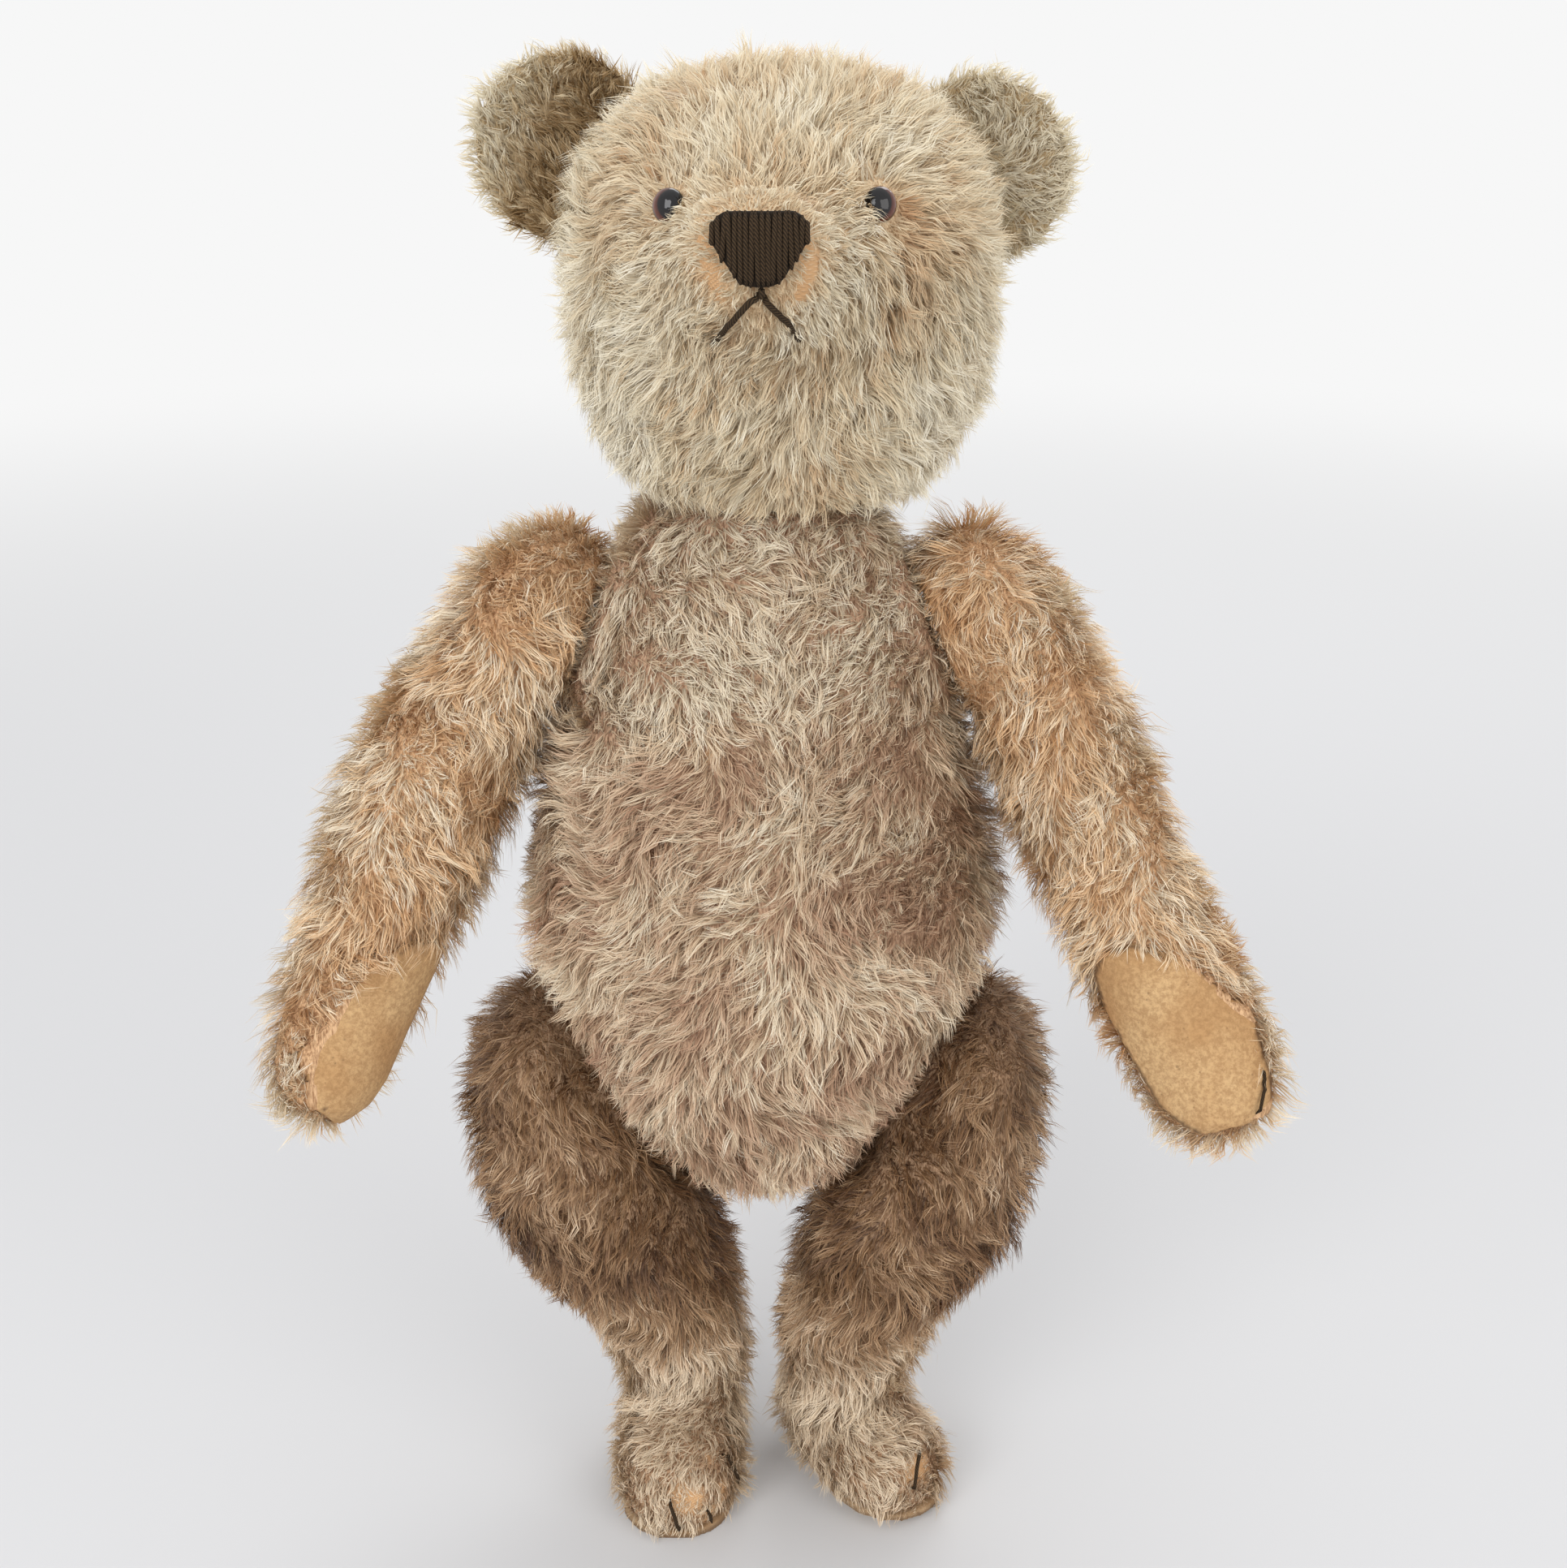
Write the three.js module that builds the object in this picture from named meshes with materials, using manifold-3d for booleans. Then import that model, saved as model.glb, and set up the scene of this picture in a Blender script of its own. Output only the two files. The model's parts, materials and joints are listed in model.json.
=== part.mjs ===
// Antique stuffed bear, 600 mm tall: mohair plush over a firm filling, with five disc joints.
// Millimetres, +Z up, the face looks along -Y, and +X is the bear's own left side.
import * as THREE from 'three';
import { mergeVertices } from 'three/addons/utils/BufferGeometryUtils.js';
import Module from 'manifold-3d';

const wasm = await Module();
wasm.setup();

// Torso: a pear, half widths at its belly, chest and neck, and its depths from the joint line
const TORSO_HEIGHT = 300;
const TORSO_BELLY_HALF_WIDTH = 97;
const TORSO_CHEST_HALF_WIDTH = 75;
const TORSO_NECK_HALF_WIDTH = 49;
const TORSO_CROTCH_HALF_WIDTH = 30;
const TORSO_BELLY_FRONT = 82;
const TORSO_CHEST_FRONT = 58;
const TORSO_BACK = 52;
const TORSO_HUMP = 56;

// Joints: where each disc bears on the torso, and how its plane leans
const CROTCH_HEIGHT = 152;
const HIP_HEIGHT = 214;
const HIP_OFFSET = 61;
const HIP_LEAN = 27;
const SHOULDER_BELOW_NECK = 52;
const SHOULDER_OFFSET = 66;
const SHOULDER_LEAN = 22;
const JOINT_GAP = 0.8;
const JOINT_WALL = 2.6;

// Head: sections from the back of the skull to the muzzle
const HEAD_LENGTH = 196;
const HEAD_BACK = 68;
const HEAD_HALF_WIDTH = 77;
const HEAD_CENTRE_ABOVE_NECK = 77;
const HEAD_CROWN = 73;
const HEAD_JAW = 88;
const MUZZLE_HALF_WIDTH = 23;
const MUZZLE_HALF_HEIGHT = 21;
const MUZZLE_LIFT = 22;
const HEAD_SIDE_SHIFT = 8;

// Ears
const EAR_RADIUS = 35;
const EAR_THICKNESS = 9;
const EAR_CUP = 11;
const EAR_OUT = 84;
const EAR_SET_BACK = 8;
const EAR_ANGLE_LEFT = 65;
const EAR_ANGLE_RIGHT = 59;

// Eyes: glass domes on a wire shank
const EYE_RADIUS = 6;
const EYE_BULGE = 4.4;
const EYE_SHANK_RADIUS = 0.9;
const EYE_SHANK_LENGTH = 13;
const EYE_SPREAD = 33;
const EYE_RISE = 31;
const EYE_SINK = 2.6;
const EYE_YAW = 28;
const EYE_PITCH = 12;

// Nose: a pad of yarn on the end of the muzzle
const NOSE_TOP_WIDTH = 29;
const NOSE_LOW_WIDTH = 12;
const NOSE_HEIGHT = 21;
const NOSE_THICKNESS = 3;
const NOSE_ASIDE = 2;

// Arms, measured down from the shoulder pin
const ARM_ABOVE_PIN = 36;
const ARM_BELOW_PIN_LEFT = 223;
const ARM_BELOW_PIN_RIGHT = 218;
const ARM_SHOULDER_THICKNESS = 54;
const ARM_ELBOW_THICKNESS_LEFT = 62;
const ARM_ELBOW_THICKNESS_RIGHT = 68;
const ARM_PAW_THICKNESS_LEFT = 61;
const ARM_PAW_THICKNESS_RIGHT = 54;
const ARM_BREADTH = 82;
const ARM_PAW_BREADTH = 56;
const ARM_PAW_FORWARD = 50;
const ARM_PAW_OUT_LEFT = 68;
const ARM_PAW_OUT_RIGHT = 61;
const ARM_SWING_LEFT = 8;
const ARM_SWING_RIGHT = 4;

// Paw pads of felt, sunk in the pile
const PAW_PAD_LENGTH = 90;
const PAW_PAD_WIDTH = 42;
const PAW_PAD_FROM_TIP = 3;
const PAW_PAD_TURN_LEFT = 36;
const PAW_PAD_TURN_RIGHT = 62;
const PAW_PAD_SLANT_LEFT = 13;
const PAW_PAD_SLANT_RIGHT = 0;
const PAW_PAD_IN_FROM_PAW = 25;
const PAD_THICKNESS = 1.8;
const PAD_SINK = 2.6;

// Legs, measured from the floor and from the hip pin
const THIGH_ABOVE_PIN = 39;
const THIGH_THICKNESS_LEFT = 71;
const THIGH_THICKNESS_RIGHT = 76;
const THIGH_BREADTH = 106;
const ANKLE_WIDTH = 58;
const ANKLE_BREADTH = 62;
const LEG_INSIDE = 5.5;
const FOOT_LENGTH = 95;
const FOOT_WIDTH = 62;
const FOOT_RISE = 58;
const HEEL_BEHIND_ANKLE = 33;
const FOOT_TURN_LEFT = 32;
const FOOT_TURN_RIGHT = 3;
const SOLE_ROLL_LEFT = 8;
const SOLE_ROLL_RIGHT = 0;
const HIP_SEAT_RADIUS = 60;
const SOLE_THICKNESS = 2.5;
const SOLE_INSET = 4;

// Joint hardware: card discs, steel washers and one split pin to a joint
const NECK_DISC_RADIUS = 28;
const SHOULDER_DISC_RADIUS = 21;
const HIP_DISC_RADIUS = 24;
const DISC_THICKNESS = 3;
const WASHER_RADIUS = 8;
const WASHER_THICKNESS = 1.2;
const PIN_WIRE_RADIUS = 1;
const PIN_EYE_RADIUS = 3.2;
const PIN_CURL_RADIUS = 3.6;
const HARDWARE_GAP = 0.3;
const PIN_CLEARANCE = 0.5;
const SEAT_GAP = 0.3;

const plushHead = new THREE.MeshStandardMaterial({ color: 0xd9cbae, roughness: 0.95, metalness: 0 });
const plushEar = new THREE.MeshStandardMaterial({ color: 0xb5a283, roughness: 0.95, metalness: 0 });
const plushTorso = new THREE.MeshStandardMaterial({ color: 0xb89c80, roughness: 0.95, metalness: 0 });
const plushArm = new THREE.MeshStandardMaterial({ color: 0xd3ae85, roughness: 0.95, metalness: 0 });
const plushLeg = new THREE.MeshStandardMaterial({ color: 0xa78a6c, roughness: 0.95, metalness: 0 });
const felt = new THREE.MeshStandardMaterial({ color: 0xd0a261, roughness: 1, metalness: 0 });
const glass = new THREE.MeshStandardMaterial({ color: 0x14090a, roughness: 0.06, metalness: 0 });
const yarn = new THREE.MeshStandardMaterial({ color: 0x2e1f17, roughness: 0.85, metalness: 0 });
const card = new THREE.MeshStandardMaterial({ color: 0x8a6a44, roughness: 0.9, metalness: 0 });
const steel = new THREE.MeshStandardMaterial({ color: 0x8d8a84, roughness: 0.45, metalness: 0.9 });

const degrees = THREE.MathUtils.degToRad;

// A disc and the pocket round it have the same sides, so the clearance between them is even
const DISC_SIDES = 18;

function solidOf(geometry) {
  const bare = geometry.clone();
  bare.deleteAttribute('normal');
  bare.deleteAttribute('uv');
  const merged = mergeVertices(bare, 1e-4);
  return new wasm.Manifold(new wasm.Mesh({
    numProp: 3,
    vertProperties: new Float32Array(merged.attributes.position.array),
    triVerts: new Uint32Array(merged.index.array),
  }));
}

function geometryOf(solid) {
  const mesh = solid.getMesh();
  const geometry = new THREE.BufferGeometry();
  geometry.setAttribute('position', new THREE.BufferAttribute(new Float32Array(mesh.vertProperties), 3));
  geometry.setIndex(new THREE.BufferAttribute(new Uint32Array(mesh.triVerts), 1));
  geometry.computeVertexNormals();
  return geometry;
}

// A closed skin through key sections stacked along Z. A key is
// [z, centre x, centre y, half width, front (towards -Y), back, squareness].
// Both ends round off to a pole over their cap length, and grow moves the whole skin outwards.
function loft(keys, { lowCap, highCap, rings, segments, grow = 0 }) {
  const stations = keys.map((key) => key[0]);
  const values = keys.flatMap((key) => key.slice(1));
  const spline = new THREE.CubicInterpolant(stations, values, 6);
  const low = stations[0];
  const high = stations[stations.length - 1];
  const capRings = 4;
  const levels = [];
  for (let i = 1; i <= capRings; i += 1) {
    const turn = (i / capRings) * (Math.PI / 2);
    levels.push([low - grow + (lowCap + grow) * (1 - Math.cos(turn)), Math.sin(turn)]);
  }
  const middle = rings - 2 * capRings;
  const span = high - highCap - low - lowCap;
  for (let i = 1; i <= middle; i += 1) {
    levels.push([low + lowCap + (span * i) / (middle + 1), 1]);
  }
  for (let i = capRings; i >= 1; i -= 1) {
    const turn = (i / capRings) * (Math.PI / 2);
    levels.push([high + grow - (highCap + grow) * (1 - Math.cos(turn)), Math.sin(turn)]);
  }
  const points = [];
  for (const [z, shrink] of levels) {
    const at = spline.evaluate(THREE.MathUtils.clamp(z, low, high));
    const [x, y, side, front, back, power] = at;
    for (let j = 0; j < segments; j += 1) {
      const angle = (j / segments) * Math.PI * 2;
      const c = Math.cos(angle);
      const s = Math.sin(angle);
      const depth = (s < 0 ? front : back) + grow;
      points.push(
        x + shrink * (side + grow) * Math.sign(c) * Math.abs(c) ** (2 / power),
        y + shrink * depth * Math.sign(s) * Math.abs(s) ** (2 / power),
        z,
      );
    }
  }
  const count = levels.length;
  const bottom = count * segments;
  const first = [...spline.evaluate(low)];
  const last = [...spline.evaluate(high)];
  points.push(first[0], first[1], low - grow);
  points.push(last[0], last[1], high + grow);
  const faces = [];
  for (let j = 0; j < segments; j += 1) {
    const next = (j + 1) % segments;
    faces.push(bottom, next, j);
    for (let i = 0; i < count - 1; i += 1) {
      const a = i * segments;
      faces.push(a + j, a + next, a + segments + next, a + j, a + segments + next, a + segments + j);
    }
    const top = (count - 1) * segments;
    faces.push(bottom + 1, top + j, top + next);
  }
  const geometry = new THREE.BufferGeometry();
  geometry.setAttribute('position', new THREE.Float32BufferAttribute(points, 3));
  geometry.setIndex(faces);
  return geometry;
}

// Round plate about +X between two stations, with a bore when one is given
function plate(from, to, radius, bore, segments) {
  const profile = bore > 0
    ? [[bore, from], [radius, from], [radius, to], [bore, to], [bore, from]]
    : [[0, from], [radius, from], [radius, to], [0, to]];
  const geometry = new THREE.LatheGeometry(profile.map(([r, y]) => new THREE.Vector2(r, y)), segments);
  geometry.rotateZ(-Math.PI / 2);
  return geometry;
}

// A long pad outline with round ends, in X and Y, about its own centre
function padShape(width, length, extra) {
  const half = width / 2 + extra;
  const straight = length / 2 + extra - half;
  const shape = new THREE.Shape();
  shape.moveTo(half, -straight);
  shape.lineTo(half * 0.94, straight * 0.8);
  const crown = straight + half * 0.9;
  shape.bezierCurveTo(half * 0.8, crown, -half * 0.8, crown, -half * 0.94, straight * 0.8);
  shape.lineTo(-half, -straight);
  shape.bezierCurveTo(-half, -straight - half * 1.3, half, -straight - half * 1.3, half, -straight);
  return shape;
}

// Stations along a joint's axis: zero is the torso's bearing face, and plus goes into the limb
const LIMB_FACE = JOINT_GAP;
const LIMB_DISC_FROM = LIMB_FACE + JOINT_WALL + HARDWARE_GAP;
const LIMB_DISC_TO = LIMB_DISC_FROM + DISC_THICKNESS;
const LIMB_WASHER_FROM = LIMB_DISC_TO + HARDWARE_GAP;
const LIMB_WASHER_TO = LIMB_WASHER_FROM + WASHER_THICKNESS;
const PIN_EYE_AT = LIMB_WASHER_TO + HARDWARE_GAP + PIN_EYE_RADIUS + PIN_WIRE_RADIUS;
const LIMB_POCKET_TO = PIN_EYE_AT + PIN_EYE_RADIUS + PIN_WIRE_RADIUS + PIN_CLEARANCE;
const BODY_DISC_TO = -JOINT_WALL - HARDWARE_GAP;
const BODY_DISC_FROM = BODY_DISC_TO - DISC_THICKNESS;
const BODY_WASHER_TO = BODY_DISC_FROM - HARDWARE_GAP;
const BODY_WASHER_FROM = BODY_WASHER_TO - WASHER_THICKNESS;
const PIN_CURL_AT = BODY_WASHER_FROM - HARDWARE_GAP - PIN_CURL_RADIUS - PIN_WIRE_RADIUS;
const BODY_POCKET_FROM = PIN_CURL_AT - PIN_CURL_RADIUS - PIN_WIRE_RADIUS - PIN_CLEARANCE;
const PIN_LEG_OFFSET = PIN_WIRE_RADIUS + 0.15;
const PIN_BORE = PIN_LEG_OFFSET + PIN_WIRE_RADIUS + PIN_CLEARANCE;

// A split pin of one bent wire: an eye, two legs side by side and two rolled ends
function pinGeometry() {
  const path = [];
  const curlCentre = PIN_LEG_OFFSET + PIN_CURL_RADIUS;
  const steps = 6;
  for (let i = steps; i >= 1; i -= 1) {
    const turn = Math.PI + (i / steps) * degrees(220);
    path.push(new THREE.Vector3(
      PIN_CURL_AT + PIN_CURL_RADIUS * Math.sin(turn),
      curlCentre + PIN_CURL_RADIUS * Math.cos(turn),
      0,
    ));
  }
  path.push(new THREE.Vector3(PIN_CURL_AT, PIN_LEG_OFFSET, 0));
  path.push(new THREE.Vector3(LIMB_WASHER_FROM, PIN_LEG_OFFSET, 0));
  const open = Math.asin(PIN_LEG_OFFSET / PIN_EYE_RADIUS);
  for (let i = 0; i <= 8; i += 1) {
    const turn = Math.PI - open - (i / 8) * (2 * Math.PI - 2 * open);
    path.push(new THREE.Vector3(
      PIN_EYE_AT + PIN_EYE_RADIUS * Math.cos(turn),
      PIN_EYE_RADIUS * Math.sin(turn),
      0,
    ));
  }
  path.push(new THREE.Vector3(LIMB_WASHER_FROM, -PIN_LEG_OFFSET, 0));
  path.push(new THREE.Vector3(PIN_CURL_AT, -PIN_LEG_OFFSET, 0));
  for (let i = 1; i <= steps; i += 1) {
    const turn = Math.PI + (i / steps) * degrees(220);
    path.push(new THREE.Vector3(
      PIN_CURL_AT + PIN_CURL_RADIUS * Math.sin(turn),
      -curlCentre - PIN_CURL_RADIUS * Math.cos(turn),
      0,
    ));
  }
  const wire = new THREE.Shape();
  wire.absarc(0, 0, PIN_WIRE_RADIUS, 0, Math.PI * 2);
  const curve = new THREE.CatmullRomCurve3(path, false, 'centripetal');
  return new THREE.ExtrudeGeometry(wire, { steps: 28, curveSegments: 3, extrudePath: curve });
}

// The room a joint needs inside the torso or the limb, open to the bearing face by the pin's bore
function pocket(from, to, radius, mouth) {
  const room = solidOf(plate(from, to, radius + PIN_CLEARANCE, 0, DISC_SIDES));
  const bore = solidOf(plate(Math.min(mouth, from), Math.max(mouth, to), PIN_BORE, 0, 8));
  return room.add(bore);
}

const bear = new THREE.Group();
const floorToNeck = CROTCH_HEIGHT + TORSO_HEIGHT;
const shoulderHeight = floorToNeck - SHOULDER_BELOW_NECK;

function add(group, name, geometry, material) {
  const mesh = new THREE.Mesh(geometry, material);
  mesh.name = name;
  group.add(mesh);
  return mesh;
}

// The direction of each joint: its +X runs out of the torso along the pin
const joints = {
  neck: {
    at: new THREE.Vector3(0, 0, floorToNeck),
    turn: new THREE.Euler(0, -Math.PI / 2, 0),
    radius: NECK_DISC_RADIUS,
  },
};
for (const [name, side] of [['left', 1], ['right', -1]]) {
  joints[`shoulder_${name}`] = {
    at: new THREE.Vector3(side * SHOULDER_OFFSET, 0, shoulderHeight),
    turn: new THREE.Euler(0, side > 0 ? -degrees(SHOULDER_LEAN) : Math.PI + degrees(SHOULDER_LEAN), 0),
    radius: SHOULDER_DISC_RADIUS,
    side,
  };
  joints[`hip_${name}`] = {
    at: new THREE.Vector3(side * HIP_OFFSET, 0, HIP_HEIGHT),
    turn: new THREE.Euler(0, side > 0 ? degrees(HIP_LEAN) : Math.PI - degrees(HIP_LEAN), 0),
    radius: HIP_DISC_RADIUS,
    side,
  };
}

function placed(solid, joint) {
  const matrix = new THREE.Matrix4().makeRotationFromEuler(joint.turn).setPosition(joint.at);
  return solid.transform(matrix.elements);
}

// Everything beyond a joint's bearing face, as one large block
function beyond(joint, from) {
  const block = new THREE.BoxGeometry(300, 900, 900);
  block.translate(150 + from, 0, 0);
  return placed(solidOf(block), joint);
}

// Torso
const waist = CROTCH_HEIGHT + TORSO_HEIGHT * 0.4;
const chestToBelly = (TORSO_BELLY_HALF_WIDTH + TORSO_CHEST_HALF_WIDTH) * 0.515;
const torsoKeys = [
  [CROTCH_HEIGHT, 0, -14, TORSO_CROTCH_HALF_WIDTH * 0.72, TORSO_BELLY_FRONT * 0.3, TORSO_BACK * 0.6, 2],
  [
    CROTCH_HEIGHT + TORSO_HEIGHT * 0.1,
    0,
    -6,
    TORSO_CROTCH_HALF_WIDTH * 1.48,
    TORSO_BELLY_FRONT * 0.62,
    TORSO_BACK * 0.88,
    2.15,
  ],
  [
    CROTCH_HEIGHT + TORSO_HEIGHT * 0.22,
    0,
    0,
    TORSO_BELLY_HALF_WIDTH * 0.74,
    TORSO_BELLY_FRONT * 0.88,
    TORSO_BACK,
    2.15,
  ],
  [waist, 0, 0, TORSO_BELLY_HALF_WIDTH, TORSO_BELLY_FRONT, TORSO_BACK, 2],
  [CROTCH_HEIGHT + TORSO_HEIGHT * 0.58, 0, 0, chestToBelly, TORSO_BELLY_FRONT * 0.92, TORSO_BACK, 2.15],
  [
    CROTCH_HEIGHT + TORSO_HEIGHT * 0.76,
    0,
    0,
    TORSO_CHEST_HALF_WIDTH,
    TORSO_CHEST_FRONT * 1.1,
    TORSO_HUMP,
    2.3,
  ],
  [
    CROTCH_HEIGHT + TORSO_HEIGHT * 0.9,
    0,
    0,
    TORSO_NECK_HALF_WIDTH * 1.28,
    TORSO_CHEST_FRONT * 0.9,
    TORSO_HUMP * 0.92,
    2.25,
  ],
  [floorToNeck + 6, 0, 0, TORSO_NECK_HALF_WIDTH * 1.04, TORSO_CHEST_FRONT * 0.72, TORSO_HUMP * 0.66, 2],
];
let torsoSolid = solidOf(loft(torsoKeys, { lowCap: 30, highCap: 14, rings: 22, segments: 30 }));
for (const joint of Object.values(joints)) {
  torsoSolid = torsoSolid.subtract(beyond(joint, 0));
}
for (const joint of Object.values(joints)) {
  torsoSolid = torsoSolid.subtract(placed(pocket(BODY_POCKET_FROM, -JOINT_WALL, joint.radius, 1), joint));
}
add(bear, 'torso', geometryOf(torsoSolid), plushTorso);

// Head, lofted along its own length from the skull to the muzzle, then laid to face -Y
const headMiddle = floorToNeck + HEAD_CENTRE_ABOVE_NECK;
const headLow = -HEAD_BACK;
const headHigh = HEAD_LENGTH - HEAD_BACK;
const headKeys = [
  [headLow, HEAD_SIDE_SHIFT, 0, HEAD_HALF_WIDTH * 0.82, HEAD_JAW * 0.8, HEAD_CROWN * 0.82, 2.15],
  [
    headLow + HEAD_LENGTH * 0.18,
    HEAD_SIDE_SHIFT,
    0,
    HEAD_HALF_WIDTH * 0.95,
    HEAD_JAW * 0.93,
    HEAD_CROWN * 0.96,
    2.35,
  ],
  [headLow + HEAD_LENGTH * 0.36, HEAD_SIDE_SHIFT, 0, HEAD_HALF_WIDTH, HEAD_JAW, HEAD_CROWN, 2.5],
  [
    headLow + HEAD_LENGTH * 0.54,
    HEAD_SIDE_SHIFT,
    2,
    HEAD_HALF_WIDTH * 0.94,
    HEAD_JAW * 0.96,
    HEAD_CROWN * 0.93,
    2.4,
  ],
  [
    headLow + HEAD_LENGTH * 0.7,
    HEAD_SIDE_SHIFT * 0.8,
    8,
    HEAD_HALF_WIDTH * 0.69,
    HEAD_JAW * 0.71,
    HEAD_CROWN * 0.64,
    2.15,
  ],
  [
    headLow + HEAD_LENGTH * 0.84,
    HEAD_SIDE_SHIFT * 0.3,
    MUZZLE_LIFT * 0.66,
    MUZZLE_HALF_WIDTH * 1.45,
    MUZZLE_HALF_HEIGHT * 1.8,
    MUZZLE_HALF_HEIGHT * 1.25,
    2,
  ],
  [
    headHigh,
    -HEAD_SIDE_SHIFT * 0.2,
    MUZZLE_LIFT,
    MUZZLE_HALF_WIDTH,
    MUZZLE_HALF_HEIGHT * 1.1,
    MUZZLE_HALF_HEIGHT * 0.9,
    2,
  ],
];
function headSkin(grow) {
  const geometry = loft(headKeys, { lowCap: 34, highCap: 15, rings: 22, segments: 32, grow });
  geometry.rotateX(Math.PI / 2);
  geometry.translate(0, 0, headMiddle);
  return solidOf(geometry);
}
const headSolidBare = headSkin(0);
const headGroup = new THREE.Group();
bear.add(headGroup);
const neckJoint = joints.neck;
const neckBlock = new THREE.BoxGeometry(400, 400, 200);
neckBlock.translate(0, 0, floorToNeck + LIMB_FACE - 100);
let headSolid = headSolidBare.subtract(solidOf(neckBlock));
const neckPocket = pocket(LIMB_FACE + JOINT_WALL, LIMB_POCKET_TO, neckJoint.radius, 0);
headSolid = headSolid.subtract(placed(neckPocket, neckJoint));

// Eyes, each set square to the face
const eyeProfile = [
  [0, EYE_BULGE],
  [EYE_RADIUS * 0.5, EYE_BULGE * 0.88],
  [EYE_RADIUS * 0.87, EYE_BULGE * 0.5],
  [EYE_RADIUS, 0],
  [EYE_RADIUS * 0.84, -EYE_BULGE * 0.32],
  [EYE_SHANK_RADIUS, -EYE_BULGE * 0.42],
  [EYE_SHANK_RADIUS, -EYE_SHANK_LENGTH],
  [0, -EYE_SHANK_LENGTH],
];
for (const [name, side] of [['left', 1], ['right', -1]]) {
  const from = new THREE.Vector3(HEAD_SIDE_SHIFT * 0.8 + side * EYE_SPREAD, 0, headMiddle + EYE_RISE);
  const aim = new THREE.Vector3(
    side * Math.sin(degrees(EYE_YAW)) * Math.cos(degrees(EYE_PITCH)),
    -Math.cos(degrees(EYE_YAW)) * Math.cos(degrees(EYE_PITCH)),
    Math.sin(degrees(EYE_PITCH)),
  );
  const square = new THREE.Quaternion().setFromUnitVectors(new THREE.Vector3(0, 1, 0), aim);
  // the face's own depth at the eye, found on the bare head
  const probe = new THREE.BoxGeometry(1, 200, 1);
  probe.translate(from.x, -100, from.z);
  const hit = headSolidBare.intersect(solidOf(probe)).boundingBox();
  from.y = hit.min[1] + EYE_SINK;
  const matrix = new THREE.Matrix4().makeRotationFromQuaternion(square).setPosition(from);
  const eyePoints = eyeProfile.map(([r, y]) => new THREE.Vector2(r, y)).reverse();
  const glassEye = new THREE.LatheGeometry(eyePoints, 14);
  const socket = [
    [0, 30],
    [EYE_RADIUS + SEAT_GAP + 1, 30],
    [EYE_RADIUS + SEAT_GAP, -EYE_BULGE * 0.42 - SEAT_GAP],
    [EYE_SHANK_RADIUS + SEAT_GAP, -EYE_BULGE * 0.42 - SEAT_GAP],
    [EYE_SHANK_RADIUS + SEAT_GAP, -EYE_SHANK_LENGTH - SEAT_GAP],
    [0, -EYE_SHANK_LENGTH - SEAT_GAP],
  ];
  const hole = new THREE.LatheGeometry(socket.map(([r, y]) => new THREE.Vector2(r, y)).reverse(), 14);
  headSolid = headSolid.subtract(solidOf(hole.applyMatrix4(matrix)));
  const mesh = add(headGroup, `eye_${name}`, glassEye, glass);
  mesh.applyMatrix4(matrix);
}
add(headGroup, 'head', geometryOf(headSolid), plushHead);

// Nose: the yarn pad follows the muzzle and stands proud of it
const noseShape = new THREE.Shape();
const noseHalf = NOSE_TOP_WIDTH / 2;
const noseShoulder = NOSE_HEIGHT * 0.42;
noseShape.moveTo(-NOSE_LOW_WIDTH / 2, -NOSE_HEIGHT / 2);
noseShape.quadraticCurveTo(0, -NOSE_HEIGHT * 0.58, NOSE_LOW_WIDTH / 2, -NOSE_HEIGHT / 2);
noseShape.lineTo(noseHalf, NOSE_HEIGHT * 0.08);
noseShape.quadraticCurveTo(noseHalf * 1.08, noseShoulder, noseHalf * 0.68, NOSE_HEIGHT / 2);
noseShape.lineTo(-noseHalf * 0.68, NOSE_HEIGHT / 2);
noseShape.quadraticCurveTo(-noseHalf * 1.08, noseShoulder, -noseHalf, NOSE_HEIGHT * 0.08);
noseShape.lineTo(-NOSE_LOW_WIDTH / 2, -NOSE_HEIGHT / 2);
const nosePrism = new THREE.ExtrudeGeometry(noseShape, {
  depth: 60,
  bevelEnabled: false,
  curveSegments: 4,
});
nosePrism.rotateX(Math.PI / 2);
nosePrism.translate(NOSE_ASIDE, HEAD_BACK - HEAD_LENGTH + 25, headMiddle + MUZZLE_LIFT);
const noseSolid = solidOf(nosePrism).intersect(headSkin(NOSE_THICKNESS)).subtract(headSkin(SEAT_GAP));
add(headGroup, 'nose', geometryOf(noseSolid), yarn);

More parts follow.
